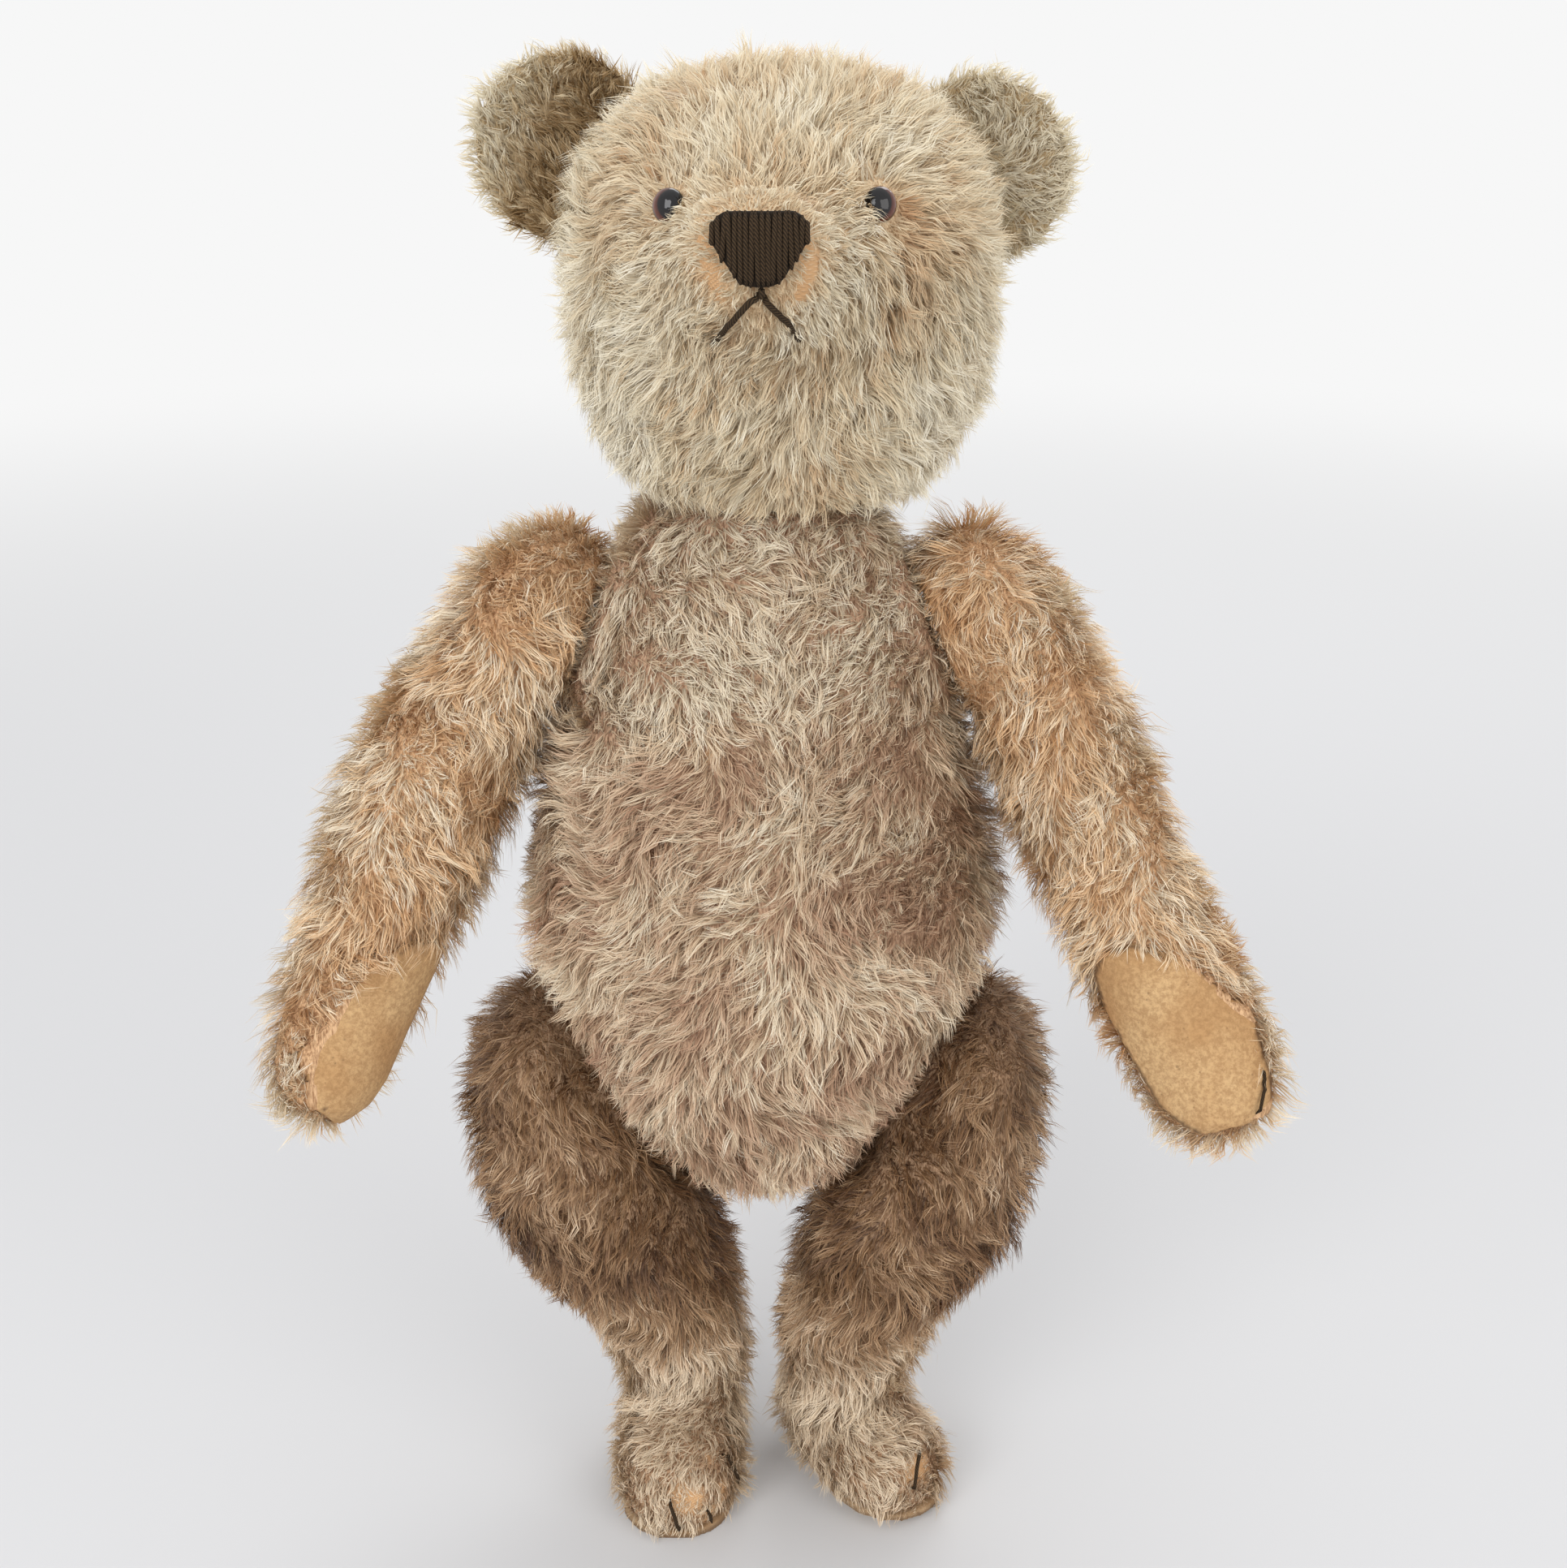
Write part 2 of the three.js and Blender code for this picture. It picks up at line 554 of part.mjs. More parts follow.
// Ears: round saucers, cupped forwards, with the inner part cut away where they are sewn to the head
const earProfile = [
  [0, EAR_CUP - EAR_THICKNESS / 2],
  [EAR_RADIUS * 0.5, EAR_CUP * 0.78 - EAR_THICKNESS / 2],
  [EAR_RADIUS * 0.84, EAR_CUP * 0.3 - EAR_THICKNESS / 2],
  [EAR_RADIUS * 0.97, -EAR_THICKNESS * 0.3],
  [EAR_RADIUS, EAR_THICKNESS * 0.1],
  [EAR_RADIUS * 0.93, EAR_THICKNESS * 0.42],
  [EAR_RADIUS * 0.5, EAR_CUP * 0.78 + EAR_THICKNESS / 2],
  [0, EAR_CUP + EAR_THICKNESS / 2],
];
for (const [name, side] of [['left', 1], ['right', -1]]) {
  const angle = degrees(side > 0 ? EAR_ANGLE_LEFT : EAR_ANGLE_RIGHT);
  const ear = new THREE.LatheGeometry(earProfile.map(([r, y]) => new THREE.Vector2(r, y)), 26);
  ear.translate(
    HEAD_SIDE_SHIFT * 0.4 + side * EAR_OUT * Math.sin(angle),
    EAR_SET_BACK,
    headMiddle + EAR_OUT * Math.cos(angle),
  );
  const earSolid = solidOf(ear).subtract(headSkin(SEAT_GAP));
  add(headGroup, `ear_${name}`, geometryOf(earSolid), plushEar);
}

// Arms hang in the leaning frame of the shoulder: X away from the torso, Z up along the bearing face
function armSkin({ reach, elbow, paw, pawOut }, grow) {
  const half = ARM_BREADTH / 2;
  const pawHalf = ARM_PAW_BREADTH / 2;
  const keys = [
    [-reach, pawOut - paw / 2, -ARM_PAW_FORWARD, paw * 0.46, pawHalf * 0.92, pawHalf, 2],
    [-reach * 0.8, pawOut * 1.02 - paw / 2, -ARM_PAW_FORWARD * 0.72, paw * 0.52, pawHalf, pawHalf, 2],
    [-reach * 0.58, elbow * 0.52, -ARM_PAW_FORWARD * 0.34, elbow * 0.47, half * 0.86, half * 0.86, 2],
    [-reach * 0.36, elbow / 2, -ARM_PAW_FORWARD * 0.12, elbow / 2, half, half, 2.1],
    [-reach * 0.12, ARM_SHOULDER_THICKNESS * 0.5, 0, ARM_SHOULDER_THICKNESS * 0.56, half, half, 2.2],
    [
      ARM_ABOVE_PIN,
      ARM_SHOULDER_THICKNESS * 0.32,
      0,
      ARM_SHOULDER_THICKNESS * 0.46,
      half * 0.92,
      half * 0.92,
      2.2,
    ],
  ];
  return loft(keys, { lowCap: 26, highCap: 34, rings: 18, segments: 24, grow });
}
for (const [name, side] of [['left', 1], ['right', -1]]) {
  const joint = joints[`shoulder_${name}`];
  const group = new THREE.Group();
  group.position.copy(joint.at);
  const swing = degrees(side > 0 ? ARM_SWING_LEFT : ARM_SWING_RIGHT);
  const girth = {
    elbow: side > 0 ? ARM_ELBOW_THICKNESS_LEFT : ARM_ELBOW_THICKNESS_RIGHT,
    paw: side > 0 ? ARM_PAW_THICKNESS_LEFT : ARM_PAW_THICKNESS_RIGHT,
    reach: side > 0 ? ARM_BELOW_PIN_LEFT : ARM_BELOW_PIN_RIGHT,
    pawOut: side > 0 ? ARM_PAW_OUT_LEFT : ARM_PAW_OUT_RIGHT,
  };
  group.rotation.set(-swing, -side * degrees(SHOULDER_LEAN), 0, 'YXZ');
  bear.add(group);
  const mirrored = (solid) => (side > 0 ? solid : solid.mirror([1, 0, 0]));
  const turn = degrees(side > 0 ? PAW_PAD_TURN_LEFT : PAW_PAD_TURN_RIGHT);
  const slant = degrees(side > 0 ? PAW_PAD_SLANT_LEFT : PAW_PAD_SLANT_RIGHT);
  const padPrism = (extra) => {
    const prism = new THREE.ExtrudeGeometry(padShape(PAW_PAD_WIDTH, PAW_PAD_LENGTH, extra), {
      depth: 70,
      bevelEnabled: false,
      curveSegments: 4,
    });
    prism.rotateZ(slant);
    prism.rotateX(Math.PI / 2);
    prism.rotateZ(-turn);
    prism.rotateX(-Math.atan2(ARM_PAW_FORWARD * 0.66, girth.reach * 0.42));
    prism.translate(
      girth.pawOut - PAW_PAD_IN_FROM_PAW,
      -ARM_PAW_FORWARD * 0.72,
      -girth.reach + PAW_PAD_FROM_TIP + PAW_PAD_LENGTH / 2,
    );
    return solidOf(prism);
  };
  const face = new THREE.BoxGeometry(200, 300, 600);
  face.translate(LIMB_FACE - 100, 0, 0);
  const recess = padPrism(SEAT_GAP).subtract(solidOf(armSkin(girth, -PAD_SINK - PAD_THICKNESS - SEAT_GAP)));
  const room = pocket(LIMB_FACE + JOINT_WALL, LIMB_POCKET_TO, SHOULDER_DISC_RADIUS, 0);
  const arm = solidOf(armSkin(girth, 0)).subtract(solidOf(face)).subtract(recess).subtract(room);
  const pad = padPrism(0)
    .intersect(solidOf(armSkin(girth, -PAD_SINK)))
    .subtract(solidOf(armSkin(girth, -PAD_SINK - PAD_THICKNESS)));
  add(group, `arm_${name}`, geometryOf(mirrored(arm)), plushArm);
  add(group, `paw_pad_${name}`, geometryOf(mirrored(pad)), felt);
}

// Legs stand upright under the hip: the thigh leans in with the joint, and the foot is flat
function soleShape(extra) {
  const half = FOOT_WIDTH / 2 + extra;
  const back = HEEL_BEHIND_ANKLE + extra;
  const front = FOOT_LENGTH - HEEL_BEHIND_ANKLE + extra;
  const shape = new THREE.Shape();
  shape.moveTo(0, back);
  shape.bezierCurveTo(-half * 0.9, back, -half * 0.86, back * 0.2, -half * 0.92, -front * 0.3);
  shape.bezierCurveTo(-half * 1.1, -front * 0.86, -half * 0.5, -front, 0, -front);
  shape.bezierCurveTo(half * 0.5, -front, half * 1.1, -front * 0.86, half * 0.92, -front * 0.3);
  shape.bezierCurveTo(half * 0.86, back * 0.2, half * 0.9, back, 0, back);
  return shape;
}
const ankleX = LEG_INSIDE + FOOT_WIDTH / 2;
for (const [name, side] of [['left', 1], ['right', -1]]) {
  const footTurn = degrees(side > 0 ? FOOT_TURN_LEFT : FOOT_TURN_RIGHT);
  const joint = joints[`hip_${name}`];
  const group = new THREE.Group();
  group.position.set(joint.at.x, joint.at.y, 0);
  bear.add(group);
  const mirrored = (solid) => (side > 0 ? solid : solid.mirror([1, 0, 0]));
  const inward = HIP_OFFSET;
  const thigh = side > 0 ? THIGH_THICKNESS_LEFT : THIGH_THICKNESS_RIGHT;
  const bulge = thigh / Math.cos(degrees(HIP_LEAN));
  const at = (z) => (z - HIP_HEIGHT) * Math.tan(degrees(HIP_LEAN));
  const thighTop = HIP_HEIGHT + THIGH_ABOVE_PIN * 0.8;
  const legKeys = [
    [SOLE_THICKNESS + 4, ankleX - inward, 0, ANKLE_WIDTH / 2, ANKLE_BREADTH / 2, ANKLE_BREADTH * 0.48, 2.1],
    [FOOT_RISE * 0.8, ankleX - inward, 0, ANKLE_WIDTH / 2, ANKLE_BREADTH / 2, ANKLE_BREADTH * 0.48, 2.1],
    [
      HIP_HEIGHT * 0.408,
      ankleX - inward + 7,
      -3,
      ANKLE_WIDTH * 0.62,
      ANKLE_BREADTH * 0.58,
      ANKLE_BREADTH * 0.52,
      2.1,
    ],
    [
      HIP_HEIGHT * 0.583,
      ankleX - inward + 25,
      -5,
      bulge * 0.56,
      THIGH_BREADTH * 0.47,
      THIGH_BREADTH * 0.43,
      2.1,
    ],
    [
      HIP_HEIGHT * 0.778,
      at(HIP_HEIGHT * 0.778) + bulge * 0.46,
      -4,
      bulge * 0.56,
      THIGH_BREADTH / 2,
      THIGH_BREADTH / 2,
      2.15,
    ],
    [
      HIP_HEIGHT * 0.955,
      at(HIP_HEIGHT * 0.97) + bulge * 0.36,
      0,
      bulge * 0.42,
      THIGH_BREADTH * 0.49,
      THIGH_BREADTH * 0.48,
      2.15,
    ],
    [
      thighTop,
      at(thighTop) + bulge * 0.2,
      0,
      bulge * 0.27,
      THIGH_BREADTH * 0.42,
      THIGH_BREADTH * 0.42,
      2.1,
    ],
  ];
  const shin = solidOf(loft(legKeys, { lowCap: 3, highCap: 30, rings: 18, segments: 24 }));
  const footKeys = [
    [-HEEL_BEHIND_ANKLE, 0, -FOOT_RISE * 0.16, FOOT_WIDTH * 0.44, FOOT_RISE, FOOT_RISE * 0.5, 2.1],
    [0, 0, 0, FOOT_WIDTH * 0.46, FOOT_RISE, FOOT_RISE * 0.62, 2.2],
    [(FOOT_LENGTH - HEEL_BEHIND_ANKLE) * 0.5, 0, 0, FOOT_WIDTH * 0.49, FOOT_RISE, FOOT_RISE * 0.56, 2.2],
    [FOOT_LENGTH - HEEL_BEHIND_ANKLE, 0, -2, FOOT_WIDTH * 0.5, FOOT_RISE, FOOT_RISE * 0.5, 2.2],
  ];
  const foot = loft(footKeys, { lowCap: 24, highCap: 30, rings: 11, segments: 20 });
  foot.rotateX(Math.PI / 2);
  foot.rotateZ(footTurn);
  foot.translate(ankleX - inward, 0, FOOT_RISE * 0.26);
  const soleFrame = new THREE.Matrix4().makeTranslation(ankleX - inward, 0, 0)
    .multiply(new THREE.Matrix4().makeRotationZ(footTurn))
    .multiply(new THREE.Matrix4().makeTranslation(FOOT_WIDTH / 2 - SOLE_INSET, 0, 0))
    .multiply(new THREE.Matrix4().makeRotationY(degrees(side > 0 ? SOLE_ROLL_LEFT : SOLE_ROLL_RIGHT)))
    .multiply(new THREE.Matrix4().makeTranslation(SOLE_INSET - FOOT_WIDTH / 2, 0, 0));
  const floor = new THREE.BoxGeometry(400, 400, 200);
  floor.translate(0, 0, SOLE_THICKNESS + SEAT_GAP - 100);
  floor.applyMatrix4(soleFrame);
  const upright = {
    at: new THREE.Vector3(0, 0, HIP_HEIGHT),
    turn: new THREE.Euler(0, degrees(HIP_LEAN), 0),
  };
  const seatProfile = [[0, -50], [HIP_SEAT_RADIUS + 50, -50], [HIP_SEAT_RADIUS, LIMB_FACE], [0, LIMB_FACE]];
  const seatCone = new THREE.LatheGeometry(seatProfile.map(([r, y]) => new THREE.Vector2(r, y)), 28);
  seatCone.rotateZ(-Math.PI / 2);
  const seat = placed(solidOf(seatCone), upright);
  const room = placed(pocket(LIMB_FACE + JOINT_WALL, LIMB_POCKET_TO, HIP_DISC_RADIUS, 0), upright);
  const leg = shin.add(solidOf(foot)).subtract(solidOf(floor)).subtract(seat).subtract(room);
  const soleGeometry = new THREE.ExtrudeGeometry(soleShape(-SOLE_INSET), {
    depth: SOLE_THICKNESS,
    bevelEnabled: false,
    curveSegments: 5,
  });
  soleGeometry.applyMatrix4(soleFrame);
  add(group, `leg_${name}`, geometryOf(mirrored(leg)), plushLeg);
  add(group, `foot_pad_${name}`, geometryOf(mirrored(solidOf(soleGeometry))), felt);
}

// Hardware of the five joints: each disc is backed by a washer, and one pin draws the pair together
for (const [name, joint] of Object.entries(joints)) {
  const group = new THREE.Group();
  group.position.copy(joint.at);
  group.rotation.copy(joint.turn);
  bear.add(group);
  const bore = PIN_BORE;
  const disc = (from, to) => plate(from, to, joint.radius, bore, DISC_SIDES);
  const washer = (from, to) => plate(from, to, WASHER_RADIUS, bore, 10);
  add(group, `${name}_limb_disc`, disc(LIMB_DISC_FROM, LIMB_DISC_TO), card);
  add(group, `${name}_limb_washer`, washer(LIMB_WASHER_FROM, LIMB_WASHER_TO), steel);
  add(group, `${name}_body_disc`, disc(BODY_DISC_FROM, BODY_DISC_TO), card);
  add(group, `${name}_body_washer`, washer(BODY_WASHER_FROM, BODY_WASHER_TO), steel);
  add(group, `${name}_pin`, pinGeometry(), steel);
}

// Stand the bear on the floor with its footprint centred on the origin
const box = new THREE.Box3().setFromObject(bear, true);
const middle = box.getCenter(new THREE.Vector3());
bear.position.set(-middle.x, -middle.y, -box.min.z);

export default bear;
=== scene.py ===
import bpy
import bmesh
import json
import math
import numpy as np
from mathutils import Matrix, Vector
from mathutils.bvhtree import BVHTree
from mathutils.kdtree import KDTree


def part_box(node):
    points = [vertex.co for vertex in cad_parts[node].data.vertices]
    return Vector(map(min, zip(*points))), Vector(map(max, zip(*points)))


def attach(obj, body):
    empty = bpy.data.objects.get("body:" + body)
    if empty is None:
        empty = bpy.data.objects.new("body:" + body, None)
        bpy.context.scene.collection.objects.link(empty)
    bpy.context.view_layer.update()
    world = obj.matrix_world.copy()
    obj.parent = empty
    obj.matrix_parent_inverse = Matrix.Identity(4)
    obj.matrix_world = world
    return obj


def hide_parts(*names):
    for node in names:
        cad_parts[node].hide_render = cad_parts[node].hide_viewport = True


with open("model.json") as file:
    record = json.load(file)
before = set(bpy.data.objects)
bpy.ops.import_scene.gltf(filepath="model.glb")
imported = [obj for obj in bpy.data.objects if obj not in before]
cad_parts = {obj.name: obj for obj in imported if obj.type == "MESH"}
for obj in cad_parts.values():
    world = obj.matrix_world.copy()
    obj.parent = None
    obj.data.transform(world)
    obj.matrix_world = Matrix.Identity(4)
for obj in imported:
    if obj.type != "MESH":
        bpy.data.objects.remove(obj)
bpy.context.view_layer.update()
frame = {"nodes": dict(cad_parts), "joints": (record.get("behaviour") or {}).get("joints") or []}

nodes = frame["nodes"]
joints = {joint["name"]: joint for joint in frame["joints"]}
bpy.ops.object.select_all(action="DESELECT")

MM = 0.001
SQUARE_MM = 1e6  # in a square metre
SIDES = {"left": 1, "right": -1}  # the bear's own left lies towards +X
BLACK, WHITE = (0, 0, 0, 1), (1, 1, 1, 1)

# the photograph's frame, and the camera that fits it
PHOTO_WIDTH, PHOTO_HEIGHT = 1931, 1932
FOCAL_PIXELS = 2300.0
HORIZON_ABOVE_MIDDLE = 903  # pixels
SENSOR_MM = 36.0
CAMERA_PITCH = math.atan(HORIZON_ABOVE_MIDDLE / FOCAL_PIXELS)
MIDDLE = Vector(joints["neck"]["pos_m"])
MIDDLE.z = 0.0  # the foot of the bear's middle line
MID_X, MID_Y = MIDDLE.x, MIDDLE.y
CAMERA_AT = MIDDLE + Vector((0.009, -0.696, 0.605))

# marks on the bear, in pixels of the photograph: (x, y, radius in mm)
HEAD_WORN = ((864, 296, 2.6), (867, 322, 3.4), (873, 346, 3.6), (880, 372, 2.8),
             (1004, 308, 2.2), (1003, 332, 3.2), (992, 360, 3.0))
TORSO_WORN = ((866, 918, 4.5), (938, 1032, 2.5))
TOES_WORN = {"left": ((1138, 1810, 6.5),), "right": ((845, 1857, 6.5), (890, 1870, 4.5))}
# (x, y, radius in mm, how much darker)
HEAD_STAINS = ((735, 250, 22, 0.26), (760, 330, 16, 0.16), (1130, 300, 22, 0.22), (1125, 395, 26, 0.20),
               (1010, 430, 12, 0.12), (700, 215, 14, 0.2), (925, 215, 11, 0.12), (1180, 250, 16, 0.2),
               (930, 420, 9, 0.1), (1060, 520, 16, 0.14), (870, 130, 18, 0.1), (1000, 560, 14, 0.16))
# sewn strokes, each a run of pixels
MOUTH = (((937, 346), (938, 364)),
         ((936, 362), (923, 368), (899, 394), (875, 429)),
         ((938, 362), (954, 378), (966, 388), (986, 421)))
CLAWS = {"left": (((1128, 1786), (1124, 1810), (1121, 1833)),),
         "right": (((826, 1846), (832, 1862), (838, 1880)),
                   ((869, 1856), (877, 1881)),
                   ((888, 1791), (900, 1820), (905, 1854)))}
PAW_CLAW = (((1551, 1316), (1553, 1342), (1547, 1372)),)

# sizes in metres
DISC_RADIUS = {"neck": 0.028, "shoulder": 0.021, "hip": 0.024}
BEARING_RADIUS = {"neck": 0.034, "shoulder": 0.030, "hip": 0.034}
POCKET = (0.0022, 0.0190)  # the joint parts' pocket, from the joint's flat inwards
PIN_HOLE = (-0.001, 0.019)
PIN_HOLE_RADIUS = 0.0028
POCKET_SPARE = 0.0012
PILE_BELOW = 5.0 * MM  # the CAD solid lies at mid pile, this far above the ground cloth
EAR_PILE_BELOW = 2.2 * MM
PRESSED_BELOW = 0.5 * MM
PAD_BELOW = 1.3 * MM
NEAR_BELOW = 1.2 * MM
FLOOR_CLEARANCE = 0.0004

PILE_MAP = "OFBake"
MOST_TRIANGLES = 190000  # in one piece of pile
STRAND_CORNERS = 5
STRAND_LOOPS = 7
LEAF_LOOPS = 3
FLUFF_SHARE = 0.55  # leaves of fluff for each strand
LOCK_SWIRL, LOCK_STRAY = 1.28, 0.35  # how far a lock turns from the combed way, in radians
STRAND_STRAY, LEAF_STRAY = 0.28, 0.45  # and a strand or a leaf from its lock's
BEND_AT, BEND_RISE = 0.48, 0.13  # of a strand's length
STRAND_JITTER = 0.0004
STRAND_TAPER = 0.8
LEAF_LEAN, LEAF_LENGTH, LEAF_WIDTH = 0.88, 0.66, 0.8
TONE_SLIVER = 0.0035 / 2  # half a strand's width in its map
TONE_ENDS = (0.02, 0.97)
NOSE_STITCHES = 18
HEAD_MIDDLE = 0.529  # above the floor


def srgb(r, g, b):
    """A colour as seen on a screen, 0 to 255, made linear."""
    def linear(c):
        c /= 255
        return c / 12.92 if c <= 0.04045 else ((c + 0.055) / 1.055) ** 2.4
    return (linear(r), linear(g), linear(b), 1.0)


BARE_PALE, BARE_DEEP = srgb(250, 218, 176), srgb(204, 158, 112)
PALE_AIR = (0.93, 0.93, 0.93, 1)
SOFT_LIGHT = (0.76, 0.765, 0.78, 1)
PAPER = (0.66, 0.66, 0.665, 1)
PAPER_GLOW = (0.03, 0.03, 0.03, 1)


class Sock:
    """A socket of a shader node, so that shader maths reads as plain expressions."""

    def __init__(self, owner, socket):
        self.owner, self.socket = owner, socket

    def maths(self, operation, a, b):
        return self.owner.node("Math", {"operation": operation}, {0: a, 1: b})

    def __add__(self, other):
        return self.maths("ADD", self, other)

    def __mul__(self, other):
        return self.maths("MULTIPLY", self, other)

    def __sub__(self, other):
        return self.maths("SUBTRACT", self, other)

    def __rsub__(self, other):
        return self.maths("SUBTRACT", other, self)

    __radd__ = __add__
    __rmul__ = __mul__


class NodeTree:
    """A tree of shader nodes, and the one way its nodes are made."""

    def __init__(self, tree):
        self.tree = tree

    def node(self, kind, settings=None, values=None, out=0):
        """A node of some kind: its settings first, then the values or links of its sockets."""
        made = self.tree.nodes.new("ShaderNode" + kind)
        for key, value in (settings or {}).items():
            if key == "stops":
                ramp = made.color_ramp
                while len(ramp.elements) < len(value):
                    ramp.elements.new(0.5)
                for element, (place, colour) in zip(ramp.elements, value):
                    element.position = place
                    element.color = colour
            else:
                setattr(made, key, value)
        for key, value in (values or {}).items():
            if isinstance(value, Sock):
                self.tree.links.new(value.socket, made.inputs[key])
            else:
                made.inputs[key].default_value = value
        return Sock(self, made.outputs[out])

    def place(self):
        """Where a point lies on the object, in metres."""
        return self.node("TexCoord", out="Object")

    def vector(self, operation, *values, out="Value"):
        """Vector maths."""
        return self.node("VectorMath", {"operation": operation}, dict(enumerate(values)), out=out)

    def noise(self, scale, detail=3.0, where=None, rough=0.5):
        return self.node("TexNoise", None, {
            "Vector": where or self.place(), "Scale": scale, "Detail": detail, "Roughness": rough}, out="Fac")

    def bands(self, way, where, scale, distortion):
        """Threads side by side along one way."""
        return self.node("TexWave", {"wave_type": "BANDS", "bands_direction": way}, {
            "Vector": where, "Scale": scale, "Distortion": distortion, "Detail Scale": 2.0}, out="Fac")

    def attribute(self, name):
        return self.node("Attribute", {"attribute_name": name}, out="Fac")

    def ramp(self, value, stops):
        return self.node("ValToRGB", {"stops": stops}, {"Fac": value}, out="Color")

    def mask(self, value, low, high):
        """Black up to one value and white from another."""
        return self.ramp(value, [(low, BLACK), (high, WHITE)])

    def mix(self, factor, a, b, blend="MIX"):
        return self.node("Mix", {"data_type": "RGBA", "blend_type": blend}, {0: factor, 6: a, 7: b}, out=2)


class Look(NodeTree):
    """A material, made with what is the same all over it."""

    def __init__(self, name, **constants):
        self.material = bpy.data.materials.new(name)
        self.material.use_nodes = True
        super().__init__(self.material.node_tree)
        self.shader = self.tree.nodes["Principled BSDF"]
        for socket, value in constants.items():
            self.shader.inputs[socket.replace("_", " ")].default_value = value

    def feed(self, socket, value):
        self.tree.links.new(value.socket, self.shader.inputs[socket])

    def bump(self, height, strength, distance):
        self.feed("Normal", self.node("Bump", None, {
            "Height": height, "Strength": strength, "Distance": distance}, out="Normal"))


def fur_look(name, root_shade, *tones):
    """Mohair: across its map the tone runs from dark to pale, by stains and bleaching and in places by
    painted light and shade, and up it from root to tip.
    """
    look = Look(name, Roughness=0.5, Specular_IOR_Level=0.35)
    where = look.node("UVMap", {"uv_map": PILE_MAP}, out="UV")
    across = look.node("SeparateXYZ", None, {0: where}, out="X")
    up = look.node("SeparateXYZ", None, {0: where}, out="Y")
    palette = [(i / (len(tones) - 1), srgb(*tone)) for i, tone in enumerate(tones)]
    root = (root_shade, root_shade * 0.92, root_shade * 0.84, 1)
    shade = look.ramp(up, [(0.0, root), (0.45, (0.84, 0.80, 0.75, 1)), (0.8, WHITE)])
    look.feed("Base Color", look.mix(1.0, look.ramp(across, palette), shade, "MULTIPLY"))
    return look.material


def backing_look(name, pale, deep):
    """The cloth under the pile: short matted fluff, and the woven ground where it is marked as bare."""
    look = Look(name, Roughness=0.9, Specular_IOR_Level=0.2)
    combed = look.node("Mapping", None, {
        "Vector": look.place(), "Scale": (1300.0, 1300.0, 240.0), "Rotation": (0.15, 0.25, 0.0)})
    fluff = look.noise(1.0, 3.0, where=combed, rough=0.6)
    turned = look.node("Mapping", None, {"Vector": look.place(), "Rotation": (0.3, 0.5, 0.7)})
    warp, weft = (look.bands(way, turned, 300.0, 1.2) for way in "XZ")
    weave = warp * weft
    bare = look.attribute("bare")
    threads = look.mix(look.noise(60.0, 4.0), BARE_DEEP, BARE_PALE)
    woven = look.mix(weave * 0.8 + 0.2, BARE_DEEP, threads)
    matted = look.mix(look.mask(fluff, 0.36, 0.62), srgb(*deep), srgb(*pale))
    look.feed("Base Color", look.mix(bare, matted, woven))
    look.bump(weave * bare + fluff * (1 - bare), 0.7, 0.0005)
    return look.material


def felt_look(name, pale, deep, coarse, dirt):
    """Pressed felt: cloudy wear, coarse grain, specks of dirt and a darker stitched rim."""
    look = Look(name, Roughness=0.95)
    cloud = look.noise(35.0, 5.0)
    fibre = look.noise(520.0, 5.0, rough=0.75)
    cells = look.node("TexVoronoi", {"feature": "F1"}, {
        "Vector": look.place(), "Scale": 330.0}, out="Distance")
    specks = look.ramp(cells + look.noise(120.0, 2.0) * 0.5, [(0.28, WHITE), (0.38, BLACK)])
    clean = look.mix(look.mask(cloud, 0.35, 0.65), srgb(*deep), srgb(*pale))
    soiled = look.mix(specks * 0.45, clean, srgb(*dirt))
    grained = look.mix(look.mask(fibre, 0.40, 0.60) * 0.62, soiled, srgb(*coarse))
    rim = look.attribute("rim")
    look.feed("Base Color", look.mix(rim * 0.75, grained, srgb(*dirt)))
    look.bump(fibre + cloud * 0.6 - rim * 1.5, 0.6, 0.0005)
    return look.material


def yarn_look(name, pale, deep, ply_scale):
    """Plied thread: the ply runs round it, in its own map, its pale bands painted highlights."""
    look = Look(name, Roughness=0.85, Specular_IOR_Level=0.2)
    where = look.node("UVMap", {"uv_map": "ply"}, out="UV")
    ply = look.node("TexWave", {"wave_type": "BANDS", "bands_direction": "DIAGONAL"}, {
        "Vector": where, "Scale": ply_scale, "Distortion": 0.6}, out="Fac")
    fuzz = look.noise(1500.0, 3.0)
    # the pale colour along the ply and fuzz is a painted highlight on the dark thread
    look.feed("Base Color", look.mix(ply * 0.7 + fuzz * 0.3, srgb(*deep), srgb(*pale)))
    look.bump(ply + fuzz * 0.5, 0.8, 0.0003)
    return look.material


def glass_eye_look(name, centre, facing):
    """Black pupil, a red-brown ring behind it and a bright coat."""
    look = Look(name, Roughness=0.08, Specular_IOR_Level=0.12, Coat_Weight=0.8, Coat_Roughness=0.02)
    away = look.vector("SUBTRACT", look.place(), tuple(centre), out="Vector")
    out = look.vector("DOT_PRODUCT", away, tuple(facing))
    length = look.vector("LENGTH", away)
    aside = look.node("Math", {"operation": "SQRT"}, {0: length * length - out * out})
    look.feed("Base Color", look.ramp(aside * 160.0, [
        (0.0, (0.002, 0.002, 0.003, 1)), (0.72, (0.003, 0.002, 0.003, 1)),
        (0.79, srgb(78, 34, 20)), (0.92, srgb(104, 50, 30)), (1.0, srgb(44, 22, 16))]))
    return look.material


def card_look():
    """Fibres pressed into brown card, for the joints' discs."""
    look = Look("pressed_card", Roughness=0.85)
    fibre = look.noise(260.0, 5.0)
    look.feed("Base Color", look.mix(fibre, srgb(96, 72, 46), srgb(150, 118, 80)))
    look.bump(fibre, 0.3, 0.0003)
    return look.material


